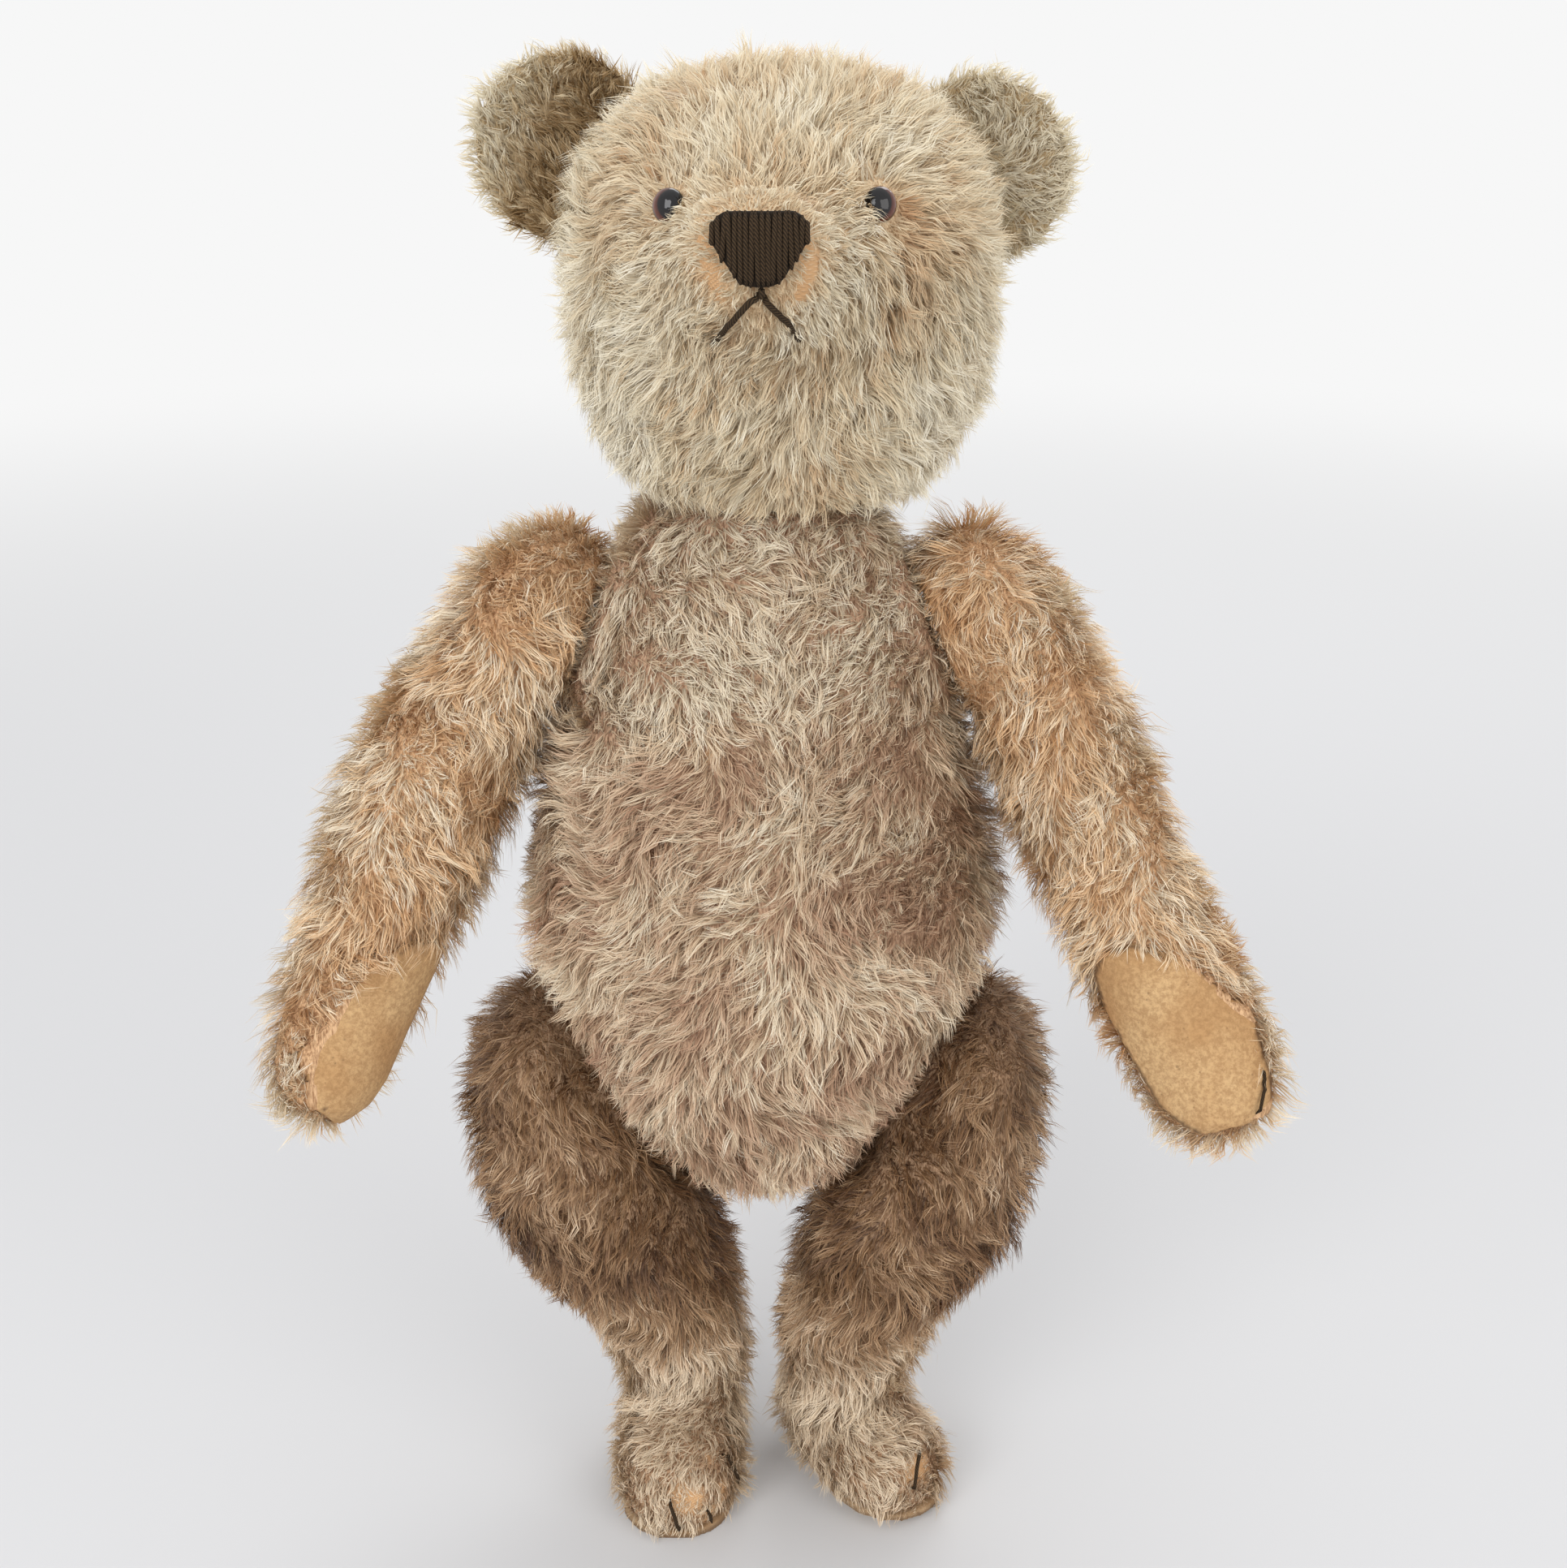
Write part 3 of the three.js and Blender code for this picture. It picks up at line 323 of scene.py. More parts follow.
def steel_look():
    """Dulled steel, for the joints' washers and pins."""
    look = Look("dull_steel", Metallic=1.0, Roughness=0.4)
    age = look.noise(190.0, 4.0)
    look.feed("Base Color", look.mix(age, srgb(120, 112, 102), srgb(176, 174, 170)))
    look.feed("Roughness", age * 0.3 + 0.3)
    return look.material


# camera, light and the studio floor
camera = bpy.data.cameras.new("camera")
camera.sensor_width = SENSOR_MM
camera.lens = SENSOR_MM * FOCAL_PIXELS / PHOTO_WIDTH
camera_object = bpy.data.objects.new("camera", camera)
camera_object.location = CAMERA_AT
camera_object.rotation_euler = (math.pi / 2 - CAMERA_PITCH, 0, 0)
bpy.context.scene.collection.objects.link(camera_object)
bpy.context.scene.camera = camera_object
bpy.context.view_layer.update()


def lamp(name, place, aim, size, power, colour=(1, 1, 1)):
    """A square soft light aimed at the bear."""
    light = bpy.data.lights.new(name, "AREA")
    light.size, light.energy, light.color = size, power, colour
    made = bpy.data.objects.new(name, light)
    made.location = place
    made.rotation_euler = (Vector(aim) - Vector(place)).to_track_quat("-Z", "Y").to_euler()
    bpy.context.scene.collection.objects.link(made)


lamp("key_lamp", (-1.1, -1.9, 1.35), (0, 0, 0.35), 1.4, 27)
lamp("fill_lamp", (1.5, -1.4, 0.9), (0, 0, 0.3), 1.4, 12, (1.0, 0.98, 0.95))
lamp("back_lamp", (0.5, 1.4, 1.8), (0, 0, 0.4), 1.2, 12)


def seen_directly(tree):
    """1 for the camera and for what shines or shows in glass, 0 for light that falls on the bear."""
    camera_ray, glossy, transmission = (
        tree.node("LightPath", out=ray) for ray in ("Is Camera Ray", "Is Glossy Ray", "Is Transmission Ray"))
    return tree.node("Math", {"operation": "ADD", "use_clamp": True}, {
        0: camera_ray + glossy, 1: transmission})


world = bpy.data.worlds.new("studio_air")
world.use_nodes = True
bpy.context.scene.world = world
bpy.context.scene.view_settings.view_transform = "Standard"
air = NodeTree(world.node_tree)
air_colour = air.mix(seen_directly(air), SOFT_LIGHT, PALE_AIR)
air.tree.links.new(air_colour.socket, air.tree.nodes["Background"].inputs["Color"])


def studio_floor():
    """A pale sheet under the bear, which fades into the pale air far from it."""
    bpy.ops.mesh.primitive_grid_add(x_subdivisions=2, y_subdivisions=2, size=60)
    floor = bpy.context.object
    floor.name = "studio_floor"
    look = Look("studio_paper", Roughness=0.95, Specular_IOR_Level=0.0, Emission_Strength=1.0)
    away = look.vector("LENGTH", look.place())
    far = look.node("MapRange", {"interpolation_type": "SMOOTHSTEP"}, {
        "Value": away, "From Min": 0.5, "From Max": 3.2}, out="Result")
    look.feed("Base Color", look.mix(far, PAPER, BLACK))
    shown = look.mix(far, PAPER_GLOW, PALE_AIR)
    look.feed("Emission Color", look.mix(seen_directly(look), BLACK, shown))
    floor.data.materials.append(look.material)


studio_floor()


# helpers for arrays of points and directions
def unit(vectors):
    """Directions of length 1."""
    return vectors / np.maximum(np.linalg.norm(vectors, axis=-1, keepdims=True), 1e-12)


def tangent(vectors, up):
    """What is left of directions when they are laid flat on the cloth."""
    return vectors - up * np.sum(vectors * up, axis=1, keepdims=True)


def leant(heading, up, lean):
    """Directions that lean over from the cloth's normals towards their headings."""
    return heading * lean + up * np.sqrt(1 - lean ** 2)


def step(low, high, value):
    """A smooth step from 0 to 1."""
    t = np.clip((value - low) / (high - low), 0, 1)
    return t * t * (3 - 2 * t)


def drift(points, scale, seed):
    """Smooth noise about zero: a sum of waves in seeded directions, for points in metres."""
    random = np.random.default_rng(seed)
    total = np.zeros(len(points))
    for octave in (1.0, 1.9, 3.7):
        for _ in range(4):
            direction = random.normal(size=3)
            direction *= octave * 2 * math.pi / (scale * np.linalg.norm(direction))
            total += np.sin(points @ direction + random.uniform(0, 2 * math.pi)) / octave
    return total / 3.2


def read_array(values, name):
    """Triples of a mesh as an array."""
    flat = np.empty(len(values) * 3, np.float32)
    values.foreach_get(name, flat)
    return flat.reshape(-1, 3).astype(float)


def read_surface(mesh):
    """Each point of a mesh, and the way out of it there."""
    return read_array(mesh.vertices, "co"), read_array(mesh.vertex_normals, "vector")


def mark(piece, name, values):
    """Keep a value for each point of a piece, for its material to read."""
    layer = piece.data.attributes.new(name, "FLOAT", "POINT")
    layer.data.foreach_set("value", values.astype(np.float32))


# helpers for joints and surfaces
BODY_JOINTS = {"torso": list(joints), "head": ["neck"]}
for hand in SIDES:
    BODY_JOINTS["arm_" + hand] = ["shoulder_" + hand]
    BODY_JOINTS["leg_" + hand] = ["hip_" + hand]


def joint_kind(name):
    """neck, shoulder or hip."""
    return name.split("_")[0]


def joint_facing(name):
    """Where a joint bears on the torso and the direction out of it."""
    joint = joints[name]
    place, axis = np.array(joint["pos_m"]), np.array(joint["axis"], float)
    if name == "neck":
        return place, np.array([0.0, 0.0, 1.0])
    side = SIDES[name.split("_")[1]]
    axis /= np.linalg.norm(axis)
    return place, axis * (side if axis[0] > 0 else -side)


def pressed(points, body, high=0.008, spare=0.0):
    """1 on the flats where two stuffed pieces bear on each other, 0 a centimetre away."""
    most = np.zeros(len(points))
    for name in BODY_JOINTS[body]:
        place, out = joint_facing(name)
        away = points - place
        along = np.abs(away @ out)
        across = np.linalg.norm(away - (away @ out)[:, None] * out, axis=1)
        bears = BEARING_RADIUS[joint_kind(name)] + spare
        most = np.maximum(most, (1 - step(0.0015, high, along)) * (1 - step(bears, bears + 0.012, across)))
    return most


def merged_copy(node):
    """A CAD node's mesh in bmesh, with its doubles merged."""
    bm = bmesh.new()
    bm.from_mesh(nodes[node].data)
    bmesh.ops.remove_doubles(bm, verts=bm.verts, dist=1e-6)
    return bm


def tree_of(*names):
    """A search tree over the surfaces of several CAD nodes."""
    corners, faces = [], []
    for name in names:
        mesh = nodes[name].data
        start = len(corners)
        corners += [v.co.copy() for v in mesh.vertices]
        faces += [[start + i for i in f.vertices] for f in mesh.polygons]
    return BVHTree.FromPolygons(corners, faces)


def skin_tree(piece):
    """A search tree over a finished piece."""
    corners = [v.co.copy() for v in piece.data.vertices]
    return BVHTree.FromPolygons(corners, [list(f.vertices) for f in piece.data.polygons])


def under(points, up, node):
    """True where a CAD node lies over the cloth, looked for straight out of it."""
    tree = tree_of(node)
    covered = np.zeros(len(points), bool)
    for i, (p, u) in enumerate(zip(points, up)):
        hit, normal, _, _ = tree.ray_cast(Vector(p - 0.003 * u), Vector(u), 0.012)
        covered[i] = hit is not None and abs(normal.dot(Vector(u))) > 0.6
    return covered


def gap_to(points, tree):
    """How far each point is from a surface."""
    return np.array([tree.find_nearest(Vector(p))[3] for p in points])


def near_node(points, node, reach):
    """1 beside a CAD node, fading to 0 at a reach from it."""
    return 1 - step(reach * 0.55, reach, gap_to(points, tree_of(node)))


def corners_of(node):
    """A CAD node's lowest and highest corners."""
    low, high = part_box(node)
    return np.array(low), np.array(high)


def centre_of(node):
    """The middle of a CAD node's box."""
    low, high = corners_of(node)
    return (low + high) / 2


def on_photo(x, y, tree, lift=0.0):
    """The place on a surface behind a pixel of the photograph, lifted off it by a little."""
    turn = camera_object.matrix_world.to_3x3()
    aim = (turn @ Vector((x - PHOTO_WIDTH / 2, PHOTO_HEIGHT / 2 - y, -FOCAL_PIXELS))).normalized()
    hit, normal, _, _ = tree.ray_cast(CAMERA_AT, aim)
    if hit is None:
        return None
    return hit + (normal if normal.dot(aim) < 0 else -normal) * lift


def along_stroke(stroke, share, tree, lift=0.0):
    """The place on a surface some share of the way along a stroke of pixels."""
    pixels = np.array(stroke, float)
    t = np.linspace(0, 1, len(pixels))
    return on_photo(np.interp(share, t, pixels[:, 0]), np.interp(share, t, pixels[:, 1]), tree, lift)


def spots_at(marks, tree):
    """Round spots (place, radius) at marks of the photograph."""
    spots = [(on_photo(x, y, tree), radius * MM) for x, y, radius in marks]
    return [spot for spot in spots if spot[0] is not None]


def spots_along(strokes, tree, radius):
    """Round spots along sewn strokes, where the pile is parted by the yarn."""
    places = [along_stroke(stroke, share, tree) for stroke in strokes for share in np.linspace(0, 1, 12)]
    return [(place, radius * MM) for place in places if place is not None]


def patches(points, spots):
    """1 inside any of the worn spots, each (place, radius), fading at its edge."""
    worn = np.zeros(len(points))
    for place, radius in spots:
        away = np.linalg.norm(points - np.array(place), axis=1) + 0.0022 * drift(points, 0.012, 5)
        worn = np.maximum(worn, 1 - step(radius * 0.75, radius * 1.15, away))
    return worn


def mark_bare(piece, spots):
    """Tell the cloth's material where the woven ground shows."""
    points, _ = read_surface(piece.data)
    mark(piece, "bare", patches(points, [(place, radius * 1.6) for place, radius in spots]))


def new_piece(name, mesh):
    """A piece made of a mesh whose points are already in their place."""
    piece = bpy.data.objects.new(name, mesh)
    bpy.context.scene.collection.objects.link(piece)
    return piece


def piece_from(bm, name):
    """A piece made of a finished bmesh."""
    mesh = bpy.data.meshes.new(name)
    bm.to_mesh(mesh)
    bm.free()
    return new_piece(name, mesh)


def dress(piece, body, material):
    """Give a piece its material and its body."""
    piece.data.materials.append(material)
    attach(piece, body)


def smooth_faces(piece):
    for face in piece.data.polygons:
        face.use_smooth = True


def apply_modifiers(piece):
    for modifier in list(piece.modifiers):
        with bpy.context.temp_override(object=piece, active_object=piece):
            bpy.ops.object.modifier_apply(modifier=modifier.name)


def even_out(piece, voxel, rounds):
    """Remesh a piece evenly and soften it."""
    even = piece.modifiers.new("even", "REMESH")
    even.mode, even.voxel_size = "VOXEL", voxel
    soft = piece.modifiers.new("soft", "SMOOTH")
    soft.iterations, soft.factor = rounds, 0.5


def close_pockets(bm, body):
    """Take the joint pockets out of a stuffed solid and close it over them."""
    inwards = -1 if body == "torso" else 1
    hollow = []
    for name in BODY_JOINTS[body]:
        place, out = joint_facing(name)
        wide = DISC_RADIUS[joint_kind(name)] + POCKET_SPARE
        for v in bm.verts:
            away = np.array(v.co) - place
            along = inwards * (away @ out)
            across = math.sqrt(max(0.0, away @ away - along * along))
            in_pocket = POCKET[0] < along < POCKET[1] and across < wide
            in_hole = PIN_HOLE[0] < along < PIN_HOLE[1] and across < PIN_HOLE_RADIUS
            if in_pocket or in_hole:
                hollow.append(v)
    bmesh.ops.delete(bm, geom=hollow, context="VERTS")
    bmesh.ops.holes_fill(bm, edges=[e for e in bm.edges if e.is_boundary], sides=0)
    bmesh.ops.triangulate(bm, faces=bm.faces[:])


def cloth_body(node, body, material, near=(), pad=None, voxel=0.0042, inset=PILE_BELOW):
    """The stuffed cloth skin under the pile, from the CAD solid with its joint pockets closed."""
    bm = merged_copy(node)
    if node == body:
        close_pockets(bm, body)
    piece = piece_from(bm, node + "_cloth")
    even_out(piece, voxel, 8)
    apply_modifiers(piece)
    mesh = piece.data
    points, normals = read_surface(mesh)
    depth = inset + (PRESSED_BELOW - inset) * pressed(points, body)
    if near:
        depth = NEAR_BELOW + (depth - NEAR_BELOW) * step(0.002, 0.028, gap_to(points, tree_of(*near)))
    if pad:
        depth[under(points, normals, pad)] = PAD_BELOW
    points -= normals * depth[:, None]
    mesh.vertices.foreach_set("co", points.astype(np.float32).ravel())
    smooth_faces(piece)
    mesh.update()
    dress(piece, body, material)
    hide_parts(node)
    return piece


class Coat:
    """Mohair on one piece of cloth: tapered bent strands in locks, with leaves of fluff between them."""

    def __init__(self, cloth, body, per_mm2, length, flow, tone, keep, seed,
                 lean=0.82, width=0.38, gathered=0.72, lock_mm2=11.0, patchy=1.0):
        self.random = np.random.default_rng(seed)
        self.body, self.per_mm2, self.tone, self.keep = body, per_mm2, tone, keep
        self.patchy = patchy
        mesh = cloth.data
        self.points, self.normals = read_surface(mesh)
        mesh.calc_loop_triangles()
        corners = np.empty(len(mesh.loop_triangles) * 3, np.int32)
        mesh.loop_triangles.foreach_get("vertices", corners)
        self.corners = corners.reshape(-1, 3)
        a, b, c = (self.points[self.corners[:, k]] for k in range(3))
        self.area = np.linalg.norm(np.cross(b - a, c - a), axis=1) / 2
        self.square_mm = self.area.sum() * SQUARE_MM
        root, up = self.scatter(1.0)
        self.comb(root, up, length, flow, lean, lock_mm2, seed)
        self.lay_strands(root, up, width, gathered)
        self.lay_fluff(width)

    def scatter(self, share):
        """Roots spread evenly over the cloth, less those that the wear or a joint takes away."""
        count = int(self.square_mm * self.per_mm2 * share)
        chosen = self.random.choice(len(self.area), size=count, p=self.area / self.area.sum())
        u, v = self.random.random(count), self.random.random(count)
        flip = u + v > 1
        u[flip], v[flip] = 1 - u[flip], 1 - v[flip]
        shares = list(enumerate((1 - u - v, u, v)))
        corners = self.corners[chosen]
        root = sum(self.points[corners[:, k]] * part[:, None] for k, part in shares)
        up = unit(sum(self.normals[corners[:, k]] * part[:, None] for k, part in shares))
        worn = self.keep(root, up) * (1 - pressed(root, self.body, 0.006, -0.016))
        kept = self.random.random(count) < worn
        return root[kept], up[kept]

    def normal(self, *size):
        """Random numbers about zero."""
        return self.random.normal(size=size)

    def comb(self, root, up, length, flow, lean, lock_mm2, seed):
        """The locks: where each is rooted, how it heads and leans, and how long it is."""
        many = min(max(8, int(self.square_mm / lock_mm2)), len(root))
        picks = self.random.choice(len(root), size=many, replace=False)
        self.locks = KDTree(many)
        for i, k in enumerate(picks):
            self.locks.insert(root[k], i)
        self.locks.balance()
        centre, up = root[picks], up[picks]
        heading = flow(centre, up)
        pull = np.linalg.norm(heading, axis=1)
        spin = LOCK_SWIRL * drift(centre, 0.045, seed + 1) + LOCK_STRAY * self.normal(many)
        heading = tangent(heading, up)
        # at the crown of a whorl the pile stands up and hides the cloth
        flat = np.linalg.norm(heading, axis=1) / np.maximum(pull, 1e-9)
        self.crown = 0.55 + 0.45 * step(0.1, 0.6, flat)
        heading = unit(heading)
        side = np.cross(up, heading)
        self.heading = heading * np.cos(spin)[:, None] + side * np.sin(spin)[:, None]
        leaning = lean + 0.12 * self.normal(many) + 0.1 * drift(centre, 0.03, seed + 2)
        self.lean = np.clip(leaning * self.crown, 0.3, 0.93)
        self.size = length(centre) * (1 + 0.15 * self.normal(many))
        self.size *= 1 - 0.5 * pressed(centre, self.body, 0.010, 0.012)
        self.tip = centre + leant(self.heading, up, self.lean[:, None]) * self.size[:, None]
        self.curl = 0.16 * drift(centre, 0.02, seed + 3)

    def nearest_lock(self, root):
        """The lock that each root belongs to."""
        return np.array([self.locks.find(place)[1] for place in root])

    def lay_strands(self, root, up, width, gathered):
        """Each strand leans with its lock, rises first and then lies over."""
        self.root = root
        count, lock = len(root), self.nearest_lock(root)
        own = unit(tangent(self.heading[lock] + STRAND_STRAY * self.normal(count, 3), up))
        reach = self.size[lock] * (1 + 0.16 * self.normal(count))
        lean = np.clip(self.lean[lock] + 0.1 * self.normal(count), 0.25, 0.95)[:, None]
        free_tip = root + leant(own, up, lean) * reach[:, None]
        share = gathered * np.clip(1 + 0.25 * self.normal(count, 1), 0, 1.3)
        tip = free_tip + (self.tip[lock] - free_tip) * share
        curl = (self.curl + 0.07 * self.normal(len(self.size)))[lock]
        curl = unit(np.cross(up, tip - root)) * (reach * curl)[:, None]
        rise = up * (reach * BEND_RISE)[:, None]
        middle = root + (tip - root) * BEND_AT + rise + STRAND_JITTER * self.normal(count, 3) + curl
        across = np.cross(up, tip - root) + up * (0.0045 * self.normal(count, 1))
        across = unit(across) * (width * MM / 2)
        across *= np.clip(1 + 0.25 * self.normal(count, 1), 0.5, 1.7)
        bend = across * STRAND_TAPER
        self.strands = np.stack([root - across, root + across, middle - bend, middle + bend, tip], axis=1)
        # tone across the map, and root, bend and tip up it
        self.lock_tone = 0.15 * self.patchy * self.normal(len(self.size))
        tone = self.tone(root, up) + 0.10 * self.patchy * self.normal(count) + self.lock_tone[lock]
        tone = np.clip(tone, *TONE_ENDS)
        shade = np.clip(0.12 * self.normal(count) + 0.06, -0.12, 0.25)
        foot = np.clip(0.03 + shade * 0.2, 0.01, 0.2)
        half = np.clip(0.5 + shade, 0.3, 0.8)
        top = np.clip(0.86 + shade * 0.7, 0.6, 0.99)
        left, right = tone - TONE_SLIVER, tone + TONE_SLIVER
        self.strand_map = np.stack([left, foot, left, half, right, half, right, foot,
                                    left, half, tone, top, right, half], axis=1)

    def lay_fluff(self, width):
        """Short leaves of one triangle each, which hide the cloth between the locks."""
        root, up = self.scatter(FLUFF_SHARE)
        self.leaf_root = root
        count, lock = len(root), self.nearest_lock(root)
        own = unit(tangent(self.heading[lock] + LEAF_STRAY * self.normal(count, 3), up))
        lean = np.clip(LEAF_LEAN + 0.06 * self.normal(count, 1), 0.5, 0.96) * self.crown[lock][:, None]
        reach = (self.size[lock] * np.clip(LEAF_LENGTH + 0.12 * self.normal(count), 0.3, 1.0))[:, None]
        tip = root + leant(own, up, lean) * reach
        across = unit(np.cross(up, tip - root)) * (LEAF_WIDTH * width * MM)
        self.leaves = np.stack([root - across, tip, root + across], axis=1)
        tone = self.tone(root, up) - 0.10 + 0.09 * self.patchy * self.normal(count) + self.lock_tone[lock]
        tone = np.clip(tone, *TONE_ENDS)
        shade = np.clip(0.05 * self.normal(count), -0.1, 0.1)
        self.leaf_map = np.stack([tone - TONE_SLIVER, 0.24 + shade, tone, 0.62 + shade,
                                  tone + TONE_SLIVER, 0.24 + shade], axis=1)

    def grow(self, name, material):
        """Make the pile, in sectors round the piece so that no mesh holds too many triangles."""
        for places in (self.strands, self.leaves):
            places[:, :, 2] = np.maximum(places[:, :, 2], FLOOR_CLEARANCE)
        middle = (self.root[:, 0].mean(), self.root[:, 1].mean())
        orders = round_about(self.root, middle), round_about(self.leaf_root, middle)
        parts = math.ceil((3 * len(self.root) + len(self.leaf_root)) / MOST_TRIANGLES)
        for part in range(parts):
            pick, leaf = (order[part * len(order) // parts:(part + 1) * len(order) // parts]
                          for order in orders)
            fur = self.pile_mesh(f"{name}_{part + 1}", pick, leaf)
            dress(new_piece(fur.name, fur), self.body, material)

    def pile_mesh(self, name, pick, leaf):
        """Strands of a four-cornered foot and a three-cornered tip, then leaves."""
        strands, leaves = len(pick), len(leaf)
        foot, tip = [0, 2, 3, 1], [2, 4, 3]
        bent = (np.arange(strands) * STRAND_CORNERS)[:, None] + np.array([foot + tip])
        loops = np.concatenate([bent.ravel(), strands * STRAND_CORNERS + np.arange(leaves * LEAF_LOOPS)])
        faces = (np.arange(strands) * STRAND_LOOPS)[:, None] + np.array([[0, len(foot)]])
        starts = np.concatenate([faces.ravel(), strands * STRAND_LOOPS + np.arange(leaves) * LEAF_LOOPS])
        places = np.concatenate([self.strands[pick].reshape(-1, 3), self.leaves[leaf].reshape(-1, 3)])
        fur = bpy.data.meshes.new(name)
        fur.vertices.add(len(places))
        fur.vertices.foreach_set("co", places.astype(np.float32).ravel())
        fur.loops.add(len(loops))
        fur.loops.foreach_set("vertex_index", loops.astype(np.int32))
        fur.polygons.add(len(starts))
        fur.polygons.foreach_set("loop_start", starts.astype(np.int32))
        fur.update(calc_edges=True)
        layer = fur.uv_layers.new(name=PILE_MAP)
        in_map = np.concatenate([self.strand_map[pick].ravel(), self.leaf_map[leaf].ravel()])
        layer.data.foreach_set("uv", in_map.astype(np.float32))
        return fur


def round_about(places, middle):
    """The order of places by their bearing from a middle, seen from above."""
    bearing = np.arctan2(places[:, 0] - middle[0], middle[1] - places[:, 1])
    return np.argsort(bearing, kind="stable")


def thread(name, lines, radius, material, body, sides=6, taper=0.35):
    """Plied threads along several lines, each a closed round tube."""
    bm = bmesh.new()
    layer = bm.loops.layers.uv.new("ply")
    for line in lines:
        line = np.array([list(p) for p in line])
        away = unit(np.gradient(line, axis=0))
        travel = np.concatenate([[0], np.cumsum(np.linalg.norm(np.diff(line, axis=0), axis=1))])
        helper = np.array([0.0, 0.3, 1.0]) if abs(away[0][2]) < 0.85 else np.array([1.0, 0.2, 0.0])
        rings = []
        for i, (p, d) in enumerate(zip(line, away)):
            x = unit(np.cross(d, helper))
            y = np.cross(d, x)
            at_end = i in (0, len(line) - 1)
            r = radius * (taper if at_end else 1.0)
            rings.append([bm.verts.new(p + (x * math.cos(t) + y * math.sin(t)) * r)
                          for t in np.linspace(0, 2 * math.pi, sides, endpoint=False)])
        for i in range(len(rings) - 1):
            for k in range(sides):
                q = (k + 1) % sides
                face = bm.faces.new((rings[i][k], rings[i][q], rings[i + 1][q], rings[i + 1][k]))
                face.smooth = True
                for loop, (u, v) in zip(face.loops, ((k, i), (k + 1, i), (k + 1, i + 1), (k, i + 1))):
                    loop[layer].uv = (u / sides, travel[v] / (2 * math.pi * radius))
        bm.faces.new(list(reversed(rings[0])))
        bm.faces.new(rings[-1])
    bmesh.ops.recalc_face_normals(bm, faces=bm.faces[:])
    dress(piece_from(bm, name), body, material)


# the cloth under the pile
head_ground = backing_look("head_ground_cloth", (232, 206, 168), (170, 134, 98))
torso_ground = backing_look("torso_ground_cloth", (206, 172, 142), (136, 102, 80))
arm_ground = backing_look("arm_ground_cloth", (226, 186, 144), (158, 118, 84))
leg_ground = backing_look("leg_ground_cloth", (190, 156, 124), (116, 86, 62))
ear_ground = backing_look("ear_ground_cloth", (216, 194, 156), (158, 132, 96))

head = cloth_body("head", "head", head_ground, near=("nose", "eye_left", "eye_right"))
torso = cloth_body("torso", "torso", torso_ground)
ears, arms, legs = {}, {}, {}
for hand in SIDES:
    ears[hand] = cloth_body("ear_" + hand, "head", ear_ground,
                            voxel=0.0025, inset=EAR_PILE_BELOW)
    arms[hand] = cloth_body("arm_" + hand, "arm_" + hand, arm_ground,
                            pad="paw_pad_" + hand, voxel=0.0038)
    legs[hand] = cloth_body("leg_" + hand, "leg_" + hand, leg_ground,
                            pad="foot_pad_" + hand, voxel=0.0038)

# where the wear and the stitches are
NOSE_AT = centre_of("nose")
EYES_AT = {hand: centre_of("eye_" + hand) for hand in SIDES}
SEAM_X = MID_X + 0.004
head_surface = tree_of("head", "nose")
leg_surface = {hand: tree_of("leg_" + hand) for hand in SIDES}
head_worn = spots_at(HEAD_WORN, head_surface)
torso_worn = spots_at(TORSO_WORN, tree_of("torso"))
mouth_line = spots_along(MOUTH, head_surface, 2.4)
toe_worn = {hand: spots_at(TOES_WORN[hand], leg_surface[hand])
            + spots_along(CLAWS[hand], leg_surface[hand], 3.0) for hand in SIDES}
head_stains = [(spot, depth) for x, y, radius, depth in HEAD_STAINS
               for spot in spots_at([(x, y, radius)], head_surface)]


# the pile of the head
def head_flow(points, up):
    """Combed away from the nose, and down over the back and the chin."""
    away = points - (NOSE_AT + np.array([0, -0.004, 0.006]))
    radial = unit(tangent(away, up))
    down = np.tile([0.0, 0.25, -1.0], (len(points), 1))
    low = step(0.03, -0.03, points[:, 2] - NOSE_AT[2] + 0.02)[:, None]
    back = step(0.04, 0.12, points[:, 1] - NOSE_AT[1])[:, None]
    flow = radial * (1 - 0.35 * low) + down * (0.25 + 0.55 * back + 0.5 * low)
    for eye in EYES_AT.values():
        out = points - eye
        near = 1 - step(0.009, 0.018, np.linalg.norm(out, axis=1))[:, None]
        flow = flow * (1 - 0.9 * near) + unit(out) * near
    return flow


def head_length(points):
    """Shaved short on the muzzle and round the eyes."""
    size = 3.6 + 9.0 * step(0.012, 0.062, np.linalg.norm(points - NOSE_AT, axis=1))
    for eye in EYES_AT.values():
        size *= 0.42 + 0.58 * step(0.006, 0.017, np.linalg.norm(points - eye, axis=1))
    return size * MM


def head_tone(points, up):
    """Cheeks and the side towards the key lamp painted paler as painted light, a dirtier crown, darker
    towards the bottom of the head, and the stains.
    """
    # the bear's right side, towards the key lamp, is painted paler: painted light
    tone = 0.68 + 0.11 * drift(points, 0.05, 11) + 0.12 * step(0.03, 0.07, MID_X - points[:, 0])
    tone -= 0.14 * step(0.58, 0.61, points[:, 2])
    # the cheeks are painted paler: painted light, as if lit from the sides
    tone += 0.16 * step(0.02, 0.05, np.abs(points[:, 0] - MID_X)) * (1 - step(0.53, 0.56, points[:, 2]))
    for (place, radius), depth in head_stains:
        away = np.sum((points - np.array(place)) ** 2, axis=1)
        tone -= depth * np.exp(-away / (radius * radius) * 1.4)
    # darker towards the bottom of the head
    return tone - 0.22 * (1 - step(-0.075, -0.062, points[:, 2] - HEAD_MIDDLE))


